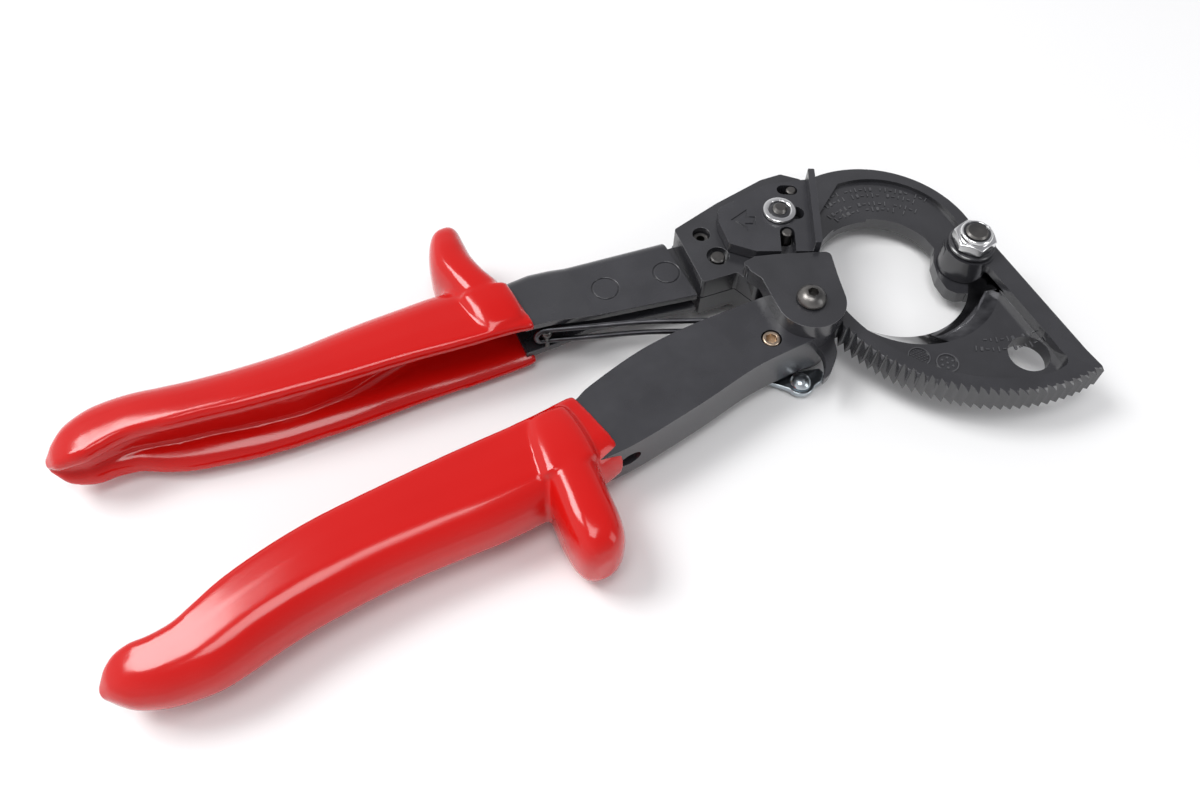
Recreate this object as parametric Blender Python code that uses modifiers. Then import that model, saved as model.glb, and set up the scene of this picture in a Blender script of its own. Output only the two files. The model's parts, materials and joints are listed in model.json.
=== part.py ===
"""Ratcheting cable cutter, lying on its side with the handles open.

The design plane is the tool's own: x runs along the tool with the jaws at +x, z is up, and the
jaw pivot stands at x = y = 0 with the underside of the moving blade at z = 0. Sizes below are in
millimetres. The whole tool hangs on one empty, which moves it so that the origin of the world is
the middle of its footprint, with the nut and the thumb guards standing on z = 0.
"""
import math

import bmesh
import bpy
from mathutils import Matrix, Vector

MM = 0.001
GAP = 0.3

# Place of the design origin in the world
ORIGIN = (110.8, -7.5, 8.5)

# Joint axes
JAW_PIVOT = (0.0, 0.0)
HANDLE_PIVOT = (-52.3, -1.4)
PAWL_PIVOT = (-65.2, -5.2)
LOCK_KNOB = (-57.8, -12.1)

# Release lever: it slides along SLIDE, measured from its guide bolt
GUIDE_BOLT = (-44.2, 27.7)
SLIDE_ANGLE = 153.0
SLIDE_TRAVEL = 3.0
PIN_UPPER = (-3.8, 8.2)
PIN_LOWER = (-1.7, -7.0)

# Ratchet teeth on the moving blade
TOOTH_TIP = 47.2
TOOTH_ROOT = 44.8
TOOTH_STEP = 3.0
TEETH_FROM = 166.5
TEETH_TO = 278.5

# Heights
FLOOR_Z = -8.5
FRAME_BOTTOM = -4.0
JAW_TOP = -0.3
RECESS = 1.2
SPLIT_Z = 2.6
ROOF_Z = 7.3
FRAME_TOP = 9.2
EAR_TOP = 13.4
LOWER_EAR_BOTTOM = -6.5
BLADE_WEB = 4.0
BLADE_TEETH = 5.8
BLADE_RIM = 7.0
BLADE_BOSS = 7.6
LEVER_TOP = 12.7
TAB_TOP = 16.2
HANDLE_BOTTOM = -3.7
HANDLE_TOP = 8.9
STEEL = 2.0
GRIP_MIDDLE = 2.6
ABOVE = 20.0
BELOW = -12.0

# Radii: the blade and its bolt, the pivots, pins and wires
BLADE_ROOM = TOOTH_TIP + 0.6
BOSS = 6.8
HANG_HOLE = 5.4
JAW_BOLT = 3.0
HANDLE_BOLT = 1.7
SLEEVE = 2.75
GUIDE_SHANK = 1.85
PAWL_PIN = 1.4
PAWL_SCREW = 2.3
PAWL_HUB = 3.2
SCREW_NECK = 1.2
KNOB_NECK = 1.0
FRAME_PIN = 1.85
FRAME_HOLE = 2.35
ANCHOR = 1.3
RIVET = 3.4
WIRE = 0.7

# Across the flats of the nuts
JAW_NUT = 10.0
HANDLE_NUT = 7.0

# Places of the holes and pins of the frame and of the blade
RIVETS = ((-94.4, 29.1), (-77.3, 27.4))
FRAME_PIN_AT = (-64.6, 23.5)
FRAME_HOLE_AT = (-65.0, 31.9)
ANCHOR_AT = (-113.8, 25.4)
HANG_HOLE_AT = (-5.6, -34.1)

for old in list(bpy.data.objects):
    bpy.data.objects.remove(old, do_unlink=True)

parts = bpy.data.collections.new("cable_cutter")
cutters = bpy.data.collections.new("cutters")
bpy.context.scene.collection.children.link(parts)
bpy.context.scene.collection.children.link(cutters)


# ---------------------------------------------------------------- helpers

def material(name, colour, roughness, metallic):
    mat = bpy.data.materials.new(name)
    mat.use_nodes = True
    shader = mat.node_tree.nodes["Principled BSDF"]
    shader.inputs["Base Color"].default_value = (*colour, 1.0)
    shader.inputs["Roughness"].default_value = roughness
    shader.inputs["Metallic"].default_value = metallic
    return mat


def arc(centre, radius, start, end, steps):
    """Points on an arc, from one angle in degrees to another, both ends included."""
    points = []
    for i in range(steps + 1):
        angle = math.radians(start + (end - start) * i / steps)
        points.append((centre[0] + radius * math.cos(angle), centre[1] + radius * math.sin(angle)))
    return points


def circle(centre, radius, steps=24):
    return arc(centre, radius, 0.0, 360.0 - 360.0 / steps, steps - 1)


def slot(start, end, radius, steps=6):
    """A hole with round ends from one centre to another."""
    heading = math.degrees(math.atan2(end[1] - start[1], end[0] - start[0]))
    return (arc(end, radius, heading - 90.0, heading + 90.0, steps)
            + arc(start, radius, heading + 90.0, heading + 270.0, steps))


def on_slide(u, v):
    """A point given along and across the lever's slide, in the design plane."""
    angle = math.radians(SLIDE_ANGLE)
    return (GUIDE_BOLT[0] + u * math.cos(angle) + v * math.sin(angle),
            GUIDE_BOLT[1] + u * math.sin(angle) - v * math.cos(angle))


def on_slide_all(points):
    return [on_slide(u, v) for u, v in points]


def link(obj, collection, mat=None):
    collection.objects.link(obj)
    if mat is not None:
        obj.data.materials.clear()
        obj.data.materials.append(mat)
    return obj


def plate_mesh(name, outlines, bottom, top):
    """A flat plate between two heights; the first outline is its edge, the others are holes."""
    curve = bpy.data.curves.new(name, "CURVE")
    curve.dimensions = "2D"
    curve.fill_mode = "BOTH"
    curve.extrude = (top - bottom) * 0.5 * MM
    for outline in outlines:
        spline = curve.splines.new("POLY")
        spline.points.add(len(outline) - 1)
        for point, (x, y) in zip(spline.points, outline):
            point.co = (x * MM, y * MM, 0.0, 1.0)
        spline.use_cyclic_u = True
    holder = bpy.data.objects.new(name + "_outline", curve)
    bpy.context.scene.collection.objects.link(holder)
    bpy.context.view_layer.update()
    evaluated = holder.evaluated_get(bpy.context.evaluated_depsgraph_get())
    mesh = bpy.data.meshes.new_from_object(evaluated)
    bpy.data.objects.remove(holder, do_unlink=True)
    shape = bmesh.new()
    shape.from_mesh(mesh)
    bmesh.ops.translate(shape, verts=shape.verts, vec=(0.0, 0.0, (top + bottom) * 0.5 * MM))
    bmesh.ops.remove_doubles(shape, verts=shape.verts, dist=1e-6)
    bmesh.ops.recalc_face_normals(shape, faces=shape.faces)
    shape.to_mesh(mesh)
    shape.free()
    mesh.name = name
    return mesh


def plate(name, outlines, bottom, top, mat=None):
    obj = bpy.data.objects.new(name, plate_mesh(name, outlines, bottom, top))
    return link(obj, parts, mat)


def turned(name, centre, profile, mat=None, steps=24):
    """A solid turned about a vertical axis; the profile is (radius, height) from top to bottom."""
    mesh = bpy.data.meshes.new(name)
    points = [(radius * MM, 0.0, height * MM) for radius, height in profile]
    closed = profile[0][0] > 0.0
    edges = [(i, i + 1) for i in range(len(points) - 1)]
    if closed:
        edges.append((len(points) - 1, 0))
    mesh.from_pydata(points, edges, [])
    obj = bpy.data.objects.new(name, mesh)
    link(obj, parts, mat)
    screw = obj.modifiers.new("turn", "SCREW")
    screw.angle = math.radians(360.0)
    screw.steps = steps
    screw.render_steps = steps
    screw.use_merge_vertices = True
    screw.merge_threshold = 1e-6
    screw.use_smooth_shade = False
    obj.location = (centre[0] * MM, centre[1] * MM, 0.0)
    return obj


def disc(name, centre, radius, bottom, top, mat=None, steps=24):
    """A plain round bar."""
    profile = [(0.0, top), (radius, top), (radius, bottom), (0.0, bottom)]
    return turned(name, centre, profile, mat, steps)


def ring(name, centre, outer, inner, bottom, top, mat=None, steps=24):
    """A washer or a sleeve."""
    profile = [(outer, top), (outer, bottom), (inner, bottom), (inner, top)]
    return turned(name, centre, profile, mat, steps)


def wire(name, points, radius, mat):
    """A round wire through points in space."""
    curve = bpy.data.curves.new(name, "CURVE")
    curve.dimensions = "3D"
    curve.bevel_depth = radius * MM
    curve.bevel_resolution = 2
    curve.use_fill_caps = True
    spline = curve.splines.new("POLY")
    spline.points.add(len(points) - 1)
    for point, (x, y, z) in zip(spline.points, points):
        point.co = (x * MM, y * MM, z * MM, 1.0)
    return link(bpy.data.objects.new(name, curve), parts, mat)


def coil(centre, radius, start, turns, first, last, per_turn=14):
    """Points on a coil about a vertical axis, from its first height to its last."""
    count = int(round(abs(turns) * per_turn))
    points = []
    for i in range(count + 1):
        share = i / count
        angle = math.radians(start + 360.0 * turns * share)
        points.append((centre[0] + radius * math.cos(angle), centre[1] + radius * math.sin(angle),
                       first + (last - first) * share))
    return points


def loft(name, sections, mat=None):
    """A closed skin over rings of equally many points, each ring in order along the piece."""
    shape = bmesh.new()
    rings = []
    for section in sections:
        rings.append([shape.verts.new(Vector(point) * MM) for point in section])
    for one, two in zip(rings, rings[1:]):
        for i in range(len(one)):
            j = (i + 1) % len(one)
            shape.faces.new((one[i], one[j], two[j], two[i]))
    shape.faces.new(rings[0])
    shape.faces.new(rings[-1])
    bmesh.ops.recalc_face_normals(shape, faces=shape.faces)
    mesh = bpy.data.meshes.new(name)
    shape.to_mesh(mesh)
    shape.free()
    return link(bpy.data.objects.new(name, mesh), parts, mat)


def boolean(obj, other, operation):
    """Cut away, or join on, another shape, which then stays as a hidden guide."""
    modifier = obj.modifiers.new(operation.lower(), "BOOLEAN")
    modifier.operation = operation
    modifier.object = other
    if other.name in parts.objects:
        parts.objects.unlink(other)
        cutters.objects.link(other)
    other.hide_render = True
    other.display_type = "WIRE"


def cut(obj, *others):
    for other in others:
        boolean(obj, other, "DIFFERENCE")


def join(obj, *others):
    for other in others:
        boolean(obj, other, "UNION")


def pivot(name, place, parent):
    """An empty on a joint's axis."""
    empty = bpy.data.objects.new(name, None)
    bpy.context.scene.collection.objects.link(empty)
    empty.empty_display_size = 0.01
    empty.parent = parent
    empty.location = (place[0] * MM, place[1] * MM, 0.0)
    return empty


# ---------------------------------------------------------------- materials

black_cast = material("black_cast_steel", (0.020, 0.020, 0.022), 0.35, 0.6)
black_sheet = material("black_sheet_steel", (0.050, 0.050, 0.055), 0.38, 0.6)
bright_steel = material("bright_steel", (0.62, 0.62, 0.62), 0.25, 1.0)
dark_steel = material("dark_steel", (0.12, 0.12, 0.12), 0.35, 0.9)
bronze = material("bronze", (0.72, 0.50, 0.33), 0.35, 1.0)
zinc = material("zinc_plate", (0.45, 0.50, 0.55), 0.28, 1.0)
red_vinyl = material("red_vinyl", (0.75, 0.015, 0.015), 0.22, 0.0)


# ---------------------------------------------------------------- frame and fixed jaw

# The two frame halves share the block's outline; the lower edge leaves room for the handle.
BLOCK_LEFT = [(-56.0, 40.0), (-70.8, 36.3), (-72.4, 17.3), (-62.7, 16.6), (-60.2, 9.8)]
BLOCK_TOP = [(-30.3, 38.5), (-34.4, 42.4), (-40.6, 42.7)]
BLOCK = [(-43.4, 9.8), (-30.4, 34.3)] + BLOCK_TOP + BLOCK_LEFT
PAWL_POCKET = on_slide_all([(-8.0, -10.3), (6.4, -10.3), (6.4, 11.3), (-8.0, 11.3)])


def lower_frame_outline():
    """Frame half, neck and crescent jaw in one outline, counter-clockwise."""
    neck = [(-50.0, 9.8), (-45.6, 6.2), (-43.0, 3.6), (-38.4, 5.6)]
    opening = arc((-20.7, 8.4), 17.55, 185.0, 12.0, 16)
    nose = [(-3.4, 8.6), (-6.4, 4.2), (-8.4, -0.8), (-8.6, -5.6), (-7.0, -7.8)]
    pivot_end = arc(JAW_PIVOT, 10.0, 240.0, 382.0, 10)
    back = arc((-18.0, 15.0), 30.0, -3.0, 95.0, 18)
    return neck + opening + nose + pivot_end + back + BLOCK_TOP[-1:] + BLOCK_LEFT


def fixed_jaw():
    jaw = plate("fixed_jaw", [lower_frame_outline()], FRAME_BOTTOM, JAW_TOP, black_cast)

    half = plate("jaw_riser", [BLOCK], JAW_TOP - 1.7, SPLIT_Z - GAP / 2)
    cut(half, disc("jaw_blade_room", JAW_PIVOT, BLADE_ROOM, JAW_TOP, FRAME_TOP, steps=96))
    tang = plate("jaw_tang", [[(-70.0, 19.0), (-70.0, 36.0), (-103.0, 37.0), (-104.0, 24.4)]],
                 JAW_TOP + 0.15, 2.2)
    ear = plate("jaw_ear", [[(-44.4, 14.0), (-60.0, 15.0), (-59.9, -1.4)]
                            + arc(HANDLE_PIVOT, 7.6, 180.0, 360.0, 12) + [(-44.7, 3.0)]],
                LOWER_EAR_BOTTOM, FRAME_BOTTOM + 0.05)
    join(jaw, half, tang, ear)

    recess = (arc((-14.7, 16.5), 23.2, 98.0, -6.0, 10) + arc(JAW_PIVOT, 9.6, 38.0, 108.0, 4)
              + arc((-20.9, 4.2), 21.6, 32.0, 108.0, 8))
    cut(jaw, plate("jaw_recess", [recess], JAW_TOP - RECESS, JAW_TOP + 1.0),
        plate("jaw_pawl_pocket", [PAWL_POCKET], -0.1, ABOVE),
        disc("jaw_bolt_hole", JAW_PIVOT, JAW_BOLT + GAP, BELOW, ABOVE),
        disc("jaw_ear_hole", HANDLE_PIVOT, HANDLE_BOLT + GAP, BELOW, ABOVE),
        disc("jaw_guide_hole", GUIDE_BOLT, GUIDE_SHANK + GAP, BELOW, ABOVE),
        disc("jaw_pin_hole", FRAME_PIN_AT, FRAME_PIN + GAP, BELOW, ABOVE),
        disc("jaw_block_hole", FRAME_HOLE_AT, FRAME_HOLE, BELOW, ABOVE))
    for i, place in enumerate(RIVETS):
        cut(jaw, disc(f"jaw_rivet_hole_{i}", place, RIVET + GAP, BELOW, ABOVE))
    return jaw


def frame_cover():
    cover = plate("frame_cover", [BLOCK], SPLIT_Z + GAP / 2, FRAME_TOP, black_cast)
    ear = [(-61.7, 13.0), (-60.2, 9.5), (-60.9, 3.0)] + arc(HANDLE_PIVOT, 8.9, 180.0, 340.0, 12)
    ear += [(-42.0, 2.4), (-39.5, 10.0), (-53.1, 15.0), (-58.2, 16.5), (-63.6, 15.7)]
    join(cover, plate("cover_ear", [ear], FRAME_TOP - 0.05, EAR_TOP))
    cut(cover, disc("cover_blade_room", JAW_PIVOT, BLADE_ROOM, BELOW, ROOF_Z, steps=96),
        plate("cover_pawl_pocket", [PAWL_POCKET], BELOW, 5.6),
        disc("cover_guide_hole", GUIDE_BOLT, GUIDE_SHANK + GAP, BELOW, ABOVE),
        disc("cover_ear_hole", HANDLE_PIVOT, HANDLE_BOLT + GAP, BELOW, ABOVE),
        disc("cover_pin_hole", FRAME_PIN_AT, FRAME_PIN + GAP, BELOW, ABOVE),
        disc("cover_pin_recess", FRAME_PIN_AT, FRAME_PIN + RECESS, FRAME_TOP - 1.0, ABOVE),
        disc("cover_block_hole", FRAME_HOLE_AT, FRAME_HOLE, BELOW, ABOVE))
    for i, (u, v) in enumerate((PIN_UPPER, PIN_LOWER)):
        way = slot(on_slide(u, v), on_slide(u + SLIDE_TRAVEL, v), PAWL_PIN + 0.4)
        cut(cover, plate(f"cover_pin_slot_{i}", [way], 4.0, ABOVE))
    return cover


# ---------------------------------------------------------------- moving blade

def toothed_arc():
    """Tooth tips and roots, with the steep faces looking counter-clockwise."""
    count = int((TEETH_TO - TEETH_FROM) / TOOTH_STEP)
    points = []
    for i in range(count + 1):
        angle = TEETH_TO - (count - i) * TOOTH_STEP
        points += arc(JAW_PIVOT, TOOTH_ROOT, angle - TOOTH_STEP + 0.35, angle, 1)[:1]
        points += arc(JAW_PIVOT, TOOTH_TIP, angle, angle, 1)[:1]
    return points


def moving_blade():
    straight = [(6.5, -40.0), (6.5, -2.0)]
    boss_side = arc(JAW_PIVOT, 7.0, 10.0, 190.0, 8)
    edge = arc((-20.3, 4.7), 20.0, 309.0, 172.0, 20)
    outline = toothed_arc() + straight + boss_side + edge
    blade = plate("moving_blade", [outline], 0.0, BLADE_TEETH, black_cast)

    rim_arc = arc(JAW_PIVOT, TOOTH_ROOT - 1.0, 168.0, 278.4, 40)
    join(blade, plate("blade_rim", [rim_arc + straight + boss_side + edge], 0.1, BLADE_RIM))
    web = arc(JAW_PIVOT, 42.4, 172.0, 266.0, 30) + [(0.6, -40.6), (0.6, -8.0), (-8.0, 4.0), (-30.0, 12.0)]
    cut(blade, plate("blade_web", [web], BLADE_WEB, ABOVE))

    # The ground edge is one leaning cone, from just below the blade to just above its web.
    bevel = bmesh.new()
    bmesh.ops.create_cone(bevel, cap_ends=True, segments=64, radius1=19.4 * MM, radius2=24.8 * MM,
                          depth=5.4 * MM)
    for vert in bevel.verts:
        shift = (-20.6, 5.2, 2.1) if vert.co.z < 0.0 else (-17.5, 1.1, 2.1)
        vert.co += Vector(shift) * MM
    bevel_mesh = bpy.data.meshes.new("blade_bevel")
    bevel.to_mesh(bevel_mesh)
    bevel.free()
    cut(blade, link(bpy.data.objects.new("blade_bevel", bevel_mesh), cutters))

    join(blade, disc("blade_boss", JAW_PIVOT, BOSS, 0.05, BLADE_BOSS))
    cut(blade, disc("blade_bolt_hole", JAW_PIVOT, JAW_BOLT + GAP, BELOW, ABOVE),
        disc("blade_hang_hole", HANG_HOLE_AT, HANG_HOLE, BELOW, ABOVE))
    return blade


# ---------------------------------------------------------------- release lever and holding pawl

def release_lever():
    outline = [(16.2, 0.5), (16.1, -4.4), (13.7, -11.6), (6.6, -13.9), (-9.7, -13.1), (-9.7, 12.6),
               (-6.5, 12.1), (3.1, 9.6)]
    guide = slot(on_slide(-4.5, 0.0), on_slide(0.3, 0.0), GUIDE_SHANK + GAP + 0.1)
    upper = slot(on_slide(*PIN_UPPER), on_slide(PIN_UPPER[0] + 2.2, PIN_UPPER[1]), PAWL_PIN + GAP)
    lever = plate("release_lever", [on_slide_all(outline), guide, upper], FRAME_TOP + GAP, LEVER_TOP,
                  black_sheet)
    u, v = PIN_LOWER
    cut(lever, plate("lever_open_slot", [slot(on_slide(u, v), on_slide(u, -20.0), 1.95)], 5.0, ABOVE))
    tab = on_slide_all([(-8.0, -13.2), (-8.0, 13.0), (-9.8, 13.0), (-9.8, -13.2)])
    join(lever, plate("lever_tab", [tab], FRAME_TOP + GAP + 0.02, TAB_TOP))
    return lever


def holding_pawl():
    """A sliding block whose two toothed feet follow the blade's tooth circle, one on each side of
    the guide bolt."""
    inner = arc(JAW_PIVOT, TOOTH_TIP + 0.5, 158.0, 153.0, 2)
    for i in range(4):
        angle = 151.5 - i * TOOTH_STEP
        inner += arc(JAW_PIVOT, TOOTH_TIP + 0.4, angle, angle, 1)[:1]
        inner += arc(JAW_PIVOT, TOOTH_TIP + 1.9, angle - 0.4, angle, 1)[:1]
    inner += arc(JAW_PIVOT, TOOTH_TIP + 0.5, 140.0, 136.0, 2)
    outer = on_slide_all([(3.0, 10.5), (3.0, -9.5)])
    pins = [circle(on_slide(*place), PAWL_PIN + GAP, 16) for place in (PIN_UPPER, PIN_LOWER)]
    pawl = plate("holding_pawl", [inner + outer] + pins, 0.3, 5.2, dark_steel)
    notch = slot(on_slide(-12.0, 0.0), on_slide(0.3, 0.0), GUIDE_SHANK + GAP)
    cut(pawl, plate("pawl_notch", [notch], BELOW, ABOVE))
    return pawl


def pawl_pin(name, place):
    return disc(name, on_slide(*place), PAWL_PIN, 0.4, LEVER_TOP + 0.2, bright_steel, 16)


def holding_pawl_spring():
    """A small compression spring that pushes the pawl towards the teeth."""
    points = []
    turns = 5
    for i in range(turns * 10 + 1):
        angle = math.radians(36.0 * i)
        u = 3.5 + 2.4 * i / (turns * 10)
        x, y = on_slide(u, -5.0 + 1.2 * math.cos(angle))
        points.append((x, y, 2.6 + 1.2 * math.sin(angle)))
    return wire("holding_pawl_spring", points, 0.2, bright_steel)


# ---------------------------------------------------------------- fasteners of the head

def hexagon(centre, across_flats, turn=0.0):
    return arc(centre, across_flats / math.sqrt(3.0), turn, turn + 300.0, 5)


def jaw_pivot():
    bolt = disc("jaw_pivot_bolt", JAW_PIVOT, JAW_BOLT, -7.0, 13.6, dark_steel)
    join(bolt, plate("jaw_bolt_head", [hexagon(JAW_PIVOT, JAW_NUT)], -7.9, FRAME_BOTTOM - GAP))
    washer = ring("jaw_pivot_washer", JAW_PIVOT, 6.2, JAW_BOLT + GAP, 7.9, 8.9, black_cast)
    nut = plate("jaw_pivot_nut", [hexagon(JAW_PIVOT, JAW_NUT, 12.0), circle(JAW_PIVOT, JAW_BOLT + GAP)],
                9.2, 13.0, bright_steel)
    return bolt, washer, nut


def handle_pivot():
    head = EAR_TOP + GAP
    profile = [(0.0, 16.4), (1.9, 16.3), (3.0, 15.7), (3.8, 14.4), (3.8, head), (HANDLE_BOLT, head),
               (HANDLE_BOLT, FLOOR_Z + 0.1), (0.0, FLOOR_Z + 0.1)]
    bolt = turned("handle_pivot_bolt", HANDLE_PIVOT, profile, dark_steel)
    cut(bolt, plate("bolt_socket", [hexagon(HANDLE_PIVOT, 2.5)], 14.6, 18.0))
    nut = plate("handle_pivot_nut", [hexagon(HANDLE_PIVOT, HANDLE_NUT, 8.0),
                                     circle(HANDLE_PIVOT, HANDLE_BOLT + GAP)],
                FLOOR_Z, LOWER_EAR_BOTTOM - GAP, dark_steel)
    sleeve = ring("pivot_sleeve", HANDLE_PIVOT, SLEEVE, HANDLE_BOLT + GAP, HANDLE_BOTTOM, HANDLE_TOP,
                  bright_steel)
    return bolt, nut, sleeve


def lever_guide():
    bolt = disc("lever_guide_bolt", GUIDE_BOLT, GUIDE_SHANK, -5.0, 14.3, dark_steel)
    join(bolt, disc("guide_bolt_head", GUIDE_BOLT, 3.5, -6.6, FRAME_BOTTOM - GAP))
    washer = ring("lever_guide_washer", GUIDE_BOLT, 4.4, GUIDE_SHANK + GAP, 13.0, 13.8, bright_steel)
    return bolt, washer


# ---------------------------------------------------------------- fixed handle

def channel_section(x, inner, outer, bottom, top, thickness):
    """One ring of a U channel whose web is at the outer edge and has rounded bends."""
    side = 1.0 if outer > inner else -1.0
    bend = 2.2
    web = outer - side * thickness
    return [(x, inner, bottom), (x, outer - side * bend, bottom), (x, outer, bottom + bend),
            (x, outer, top - bend), (x, outer - side * bend, top), (x, inner, top),
            (x, inner, top - thickness), (x, web, top - thickness), (x, web, bottom + thickness),
            (x, inner, bottom + thickness)]


def fixed_handle():
    stations = [(-73.3, 17.4, 38.2, -2.5, 4.5), (-101.0, 22.2, 41.0, -2.5, 4.5),
                (-110.0, 22.4, 40.2, -3.7, 7.6), (-119.0, 22.6, 38.6, -4.0, 9.2),
                (-160.0, 23.8, 38.2, -4.0, 9.2), (-182.0, 25.0, 37.6, -3.8, 9.0),
                (-204.0, 28.8, 39.2, -3.6, 8.8)]
    rings = []
    for x, inner, outer, bottom, top in stations:
        rings.append(channel_section(x, inner, outer, bottom, top, STEEL))
    handle = loft("fixed_handle", rings, black_sheet)
    for i, place in enumerate(RIVETS):
        cut(handle, disc(f"handle_rivet_hole_{i}", place, RIVET + GAP, BELOW, ABOVE))
    cut(handle, disc("handle_anchor_hole", ANCHOR_AT, ANCHOR + GAP, BELOW, ABOVE, steps=16))
    return handle


def tang_rivets():
    names = ("tang_rivet_rear", "tang_rivet_front")
    return [disc(name, place, RIVET, -2.5, 4.5, black_sheet) for name, place in zip(names, RIVETS)]


# ---------------------------------------------------------------- moving handle

MOVING_INNER = [(-52.3, 6.6), (-62.8, 7.0), (-81.8, 6.7), (-96.7, 5.0), (-112.2, 0.7), (-118.0, -1.8),
                (-136.0, -4.4), (-160.0, -6.6), (-186.0, -10.6), (-205.0, -15.4)]
MOVING_OUTER = [(-205.0, -26.2), (-186.0, -22.8), (-160.0, -20.8), (-136.0, -19.8), (-118.0, -18.6),
                (-108.0, -18.2), (-89.3, -14.8), (-74.0, -11.2), (-51.8, -10.0)]


def moving_handle():
    lobe = arc(HANDLE_PIVOT, 8.0, -60.0, 84.0, 10)
    outline = MOVING_INNER + MOVING_OUTER + lobe
    hole = circle(HANDLE_PIVOT, SLEEVE + GAP)
    screw_hole = circle(PAWL_PIVOT, PAWL_SCREW + GAP)
    handle = plate("moving_handle", [outline, hole, screw_hole], HANDLE_TOP - STEEL, HANDLE_TOP,
                   black_sheet)
    join(handle, plate("handle_low_flange", [outline, hole, screw_hole], HANDLE_BOTTOM,
                       HANDLE_BOTTOM + STEEL))
    web_inner = [(x - 0.1, y + STEEL) for x, y in reversed(MOVING_OUTER)]
    join(handle, plate("handle_web", [MOVING_OUTER + web_inner], HANDLE_BOTTOM + 0.02,
                       HANDLE_TOP - 0.02))
    hole_bar = bmesh.new()
    bmesh.ops.create_cone(hole_bar, cap_ends=True, segments=16, radius1=2.2 * MM, radius2=2.2 * MM,
                          depth=12.0 * MM, matrix=Matrix.Rotation(math.radians(90.0), 4, "X"))
    bmesh.ops.translate(hole_bar, verts=hole_bar.verts, vec=Vector((-110.6, -18.0, 2.6)) * MM)
    hole_mesh = bpy.data.meshes.new("handle_web_hole")
    hole_bar.to_mesh(hole_mesh)
    hole_bar.free()
    cut(handle, link(bpy.data.objects.new("handle_web_hole", hole_mesh), cutters))
    return handle


def drive_pawl():
    """A hook on the moving handle whose tip works in the blade's teeth."""
    tip = arc(JAW_PIVOT, TOOTH_TIP + 0.4, 184.6, 189.4, 3)
    back = [(-48.3, -9.8), (-49.9, -13.4), (-54.4, -17.6), (-57.2, -18.8), (-57.0, -18.0),
            (-52.8, -14.9), (-50.8, -11.0), (-51.6, -8.0)]
    hub = arc(PAWL_PIVOT, PAWL_HUB, 300.0, 60.0, 8)
    under_sleeve = [(-58.0, -4.4), (-56.0, -5.4), (-52.3, -5.4), (-48.6, -4.9)]
    return plate("drive_pawl", [tip + back + hub + under_sleeve, circle(PAWL_PIVOT, PAWL_SCREW + GAP)],
                 1.4, 3.9, dark_steel)


def drive_pawl_pin():
    """Hollow screw with a hexagon socket; its lower end carries the lock plate."""
    profile = [(0.0, HANDLE_TOP), (PAWL_SCREW, HANDLE_TOP), (PAWL_SCREW, HANDLE_BOTTOM),
               (SCREW_NECK, HANDLE_BOTTOM), (SCREW_NECK, -7.6), (2.0, -7.6), (2.0, -8.3), (0.0, -8.3)]
    pin = turned("drive_pawl_pin", PAWL_PIVOT, profile, bronze)
    cut(pin, plate("pin_socket", [hexagon(PAWL_PIVOT, 2.4)], HANDLE_TOP - 2.2, HANDLE_TOP + 2.0))
    return pin


def drive_pawl_spring():
    """A small torsion spring on the screw, between the pawl and the lower flange."""
    leg = [(-58.8, -7.4, 0.8)]
    turns = coil(PAWL_PIVOT, 3.0, -40.0, -2.25, 0.8, -0.9, 12)
    foot = [(-70.4, -7.4, -0.9)]
    return wire("drive_pawl_spring", leg + turns + foot, 0.3, bright_steel)


def handle_spring():
    """Double torsion spring: one coil in each half of the sleeve, and two long legs whose ends are
    joined by a bend behind the anchor pin."""
    radius = SLEEVE + GAP + WIRE + 0.15
    rise = 1.17
    legs = []
    for height, sign in ((4.7, 1.0), (0.3, -1.0)):
        turns = coil(HANDLE_PIVOT, radius, 118.0, -1.6, height, height + sign * rise)
        foot = (-60.4, -7.4, turns[-1][2])
        way = [(-58.0, 2.6), (-62.4, 4.2), (-75.5, 9.0), (-90.0, 15.0), (-103.3, 19.4), (-112.0, 22.3)]
        legs.append([foot] + turns[::-1] + [(x, y, height) for x, y in way])
    bend = []
    for i in range(7):
        angle = math.radians(-90.0 + 30.0 * i)
        bend.append((-114.6 - 2.0 * math.cos(angle), 23.2, 2.5 - 2.2 * math.sin(angle)))
    points = legs[0] + bend + legs[1][::-1]
    return wire("handle_spring", points, WIRE, dark_steel)


def lock_parts():
    """Lock plate under the moving handle, with a domed rivet to push it by."""
    hub = arc(PAWL_PIVOT, 2.6, 60.0, 240.0, 8)
    outline = (hub + arc(LOCK_KNOB, 3.7, 190.0, 320.0, 8)
               + [(-53.4, -14.2), (-52.6, -14.0), (-51.5, -13.1), (-50.6, -11.9), (-50.9, -10.4),
                  (-52.4, -9.9), (-58.2, -8.7), (-61.6, -5.2)])
    plate_piece = plate("lock_plate", [outline, circle(PAWL_PIVOT, SCREW_NECK + GAP, 16),
                                       circle(LOCK_KNOB, KNOB_NECK + GAP, 16)], -7.3, -5.9, zinc)
    dome = [(0.0, -4.1), (1.3, -4.3), (2.3, -4.8), (2.75, -5.6), (KNOB_NECK, -5.6), (KNOB_NECK, -7.6),
            (2.0, -7.6), (2.0, -8.1), (0.0, -8.1)]
    return plate_piece, turned("lock_knob", LOCK_KNOB, dome, zinc)


# ---------------------------------------------------------------- grips

def oval(x, low, high, half_height, middle=GRIP_MIDDLE, steps=20, power=0.5):
    """One ring of a grip: a rounded box between two sides and about the tool's middle plane."""
    points = []
    for i in range(steps):
        angle = 2.0 * math.pi * (i + 0.5) / steps
        c = math.cos(angle)
        s = math.sin(angle)
        y = (low + high) / 2 + (high - low) / 2 * math.copysign(abs(c) ** power, c)
        z = middle + half_height * math.copysign(abs(s) ** power, s)
        points.append((x, y, z))
    return points


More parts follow.
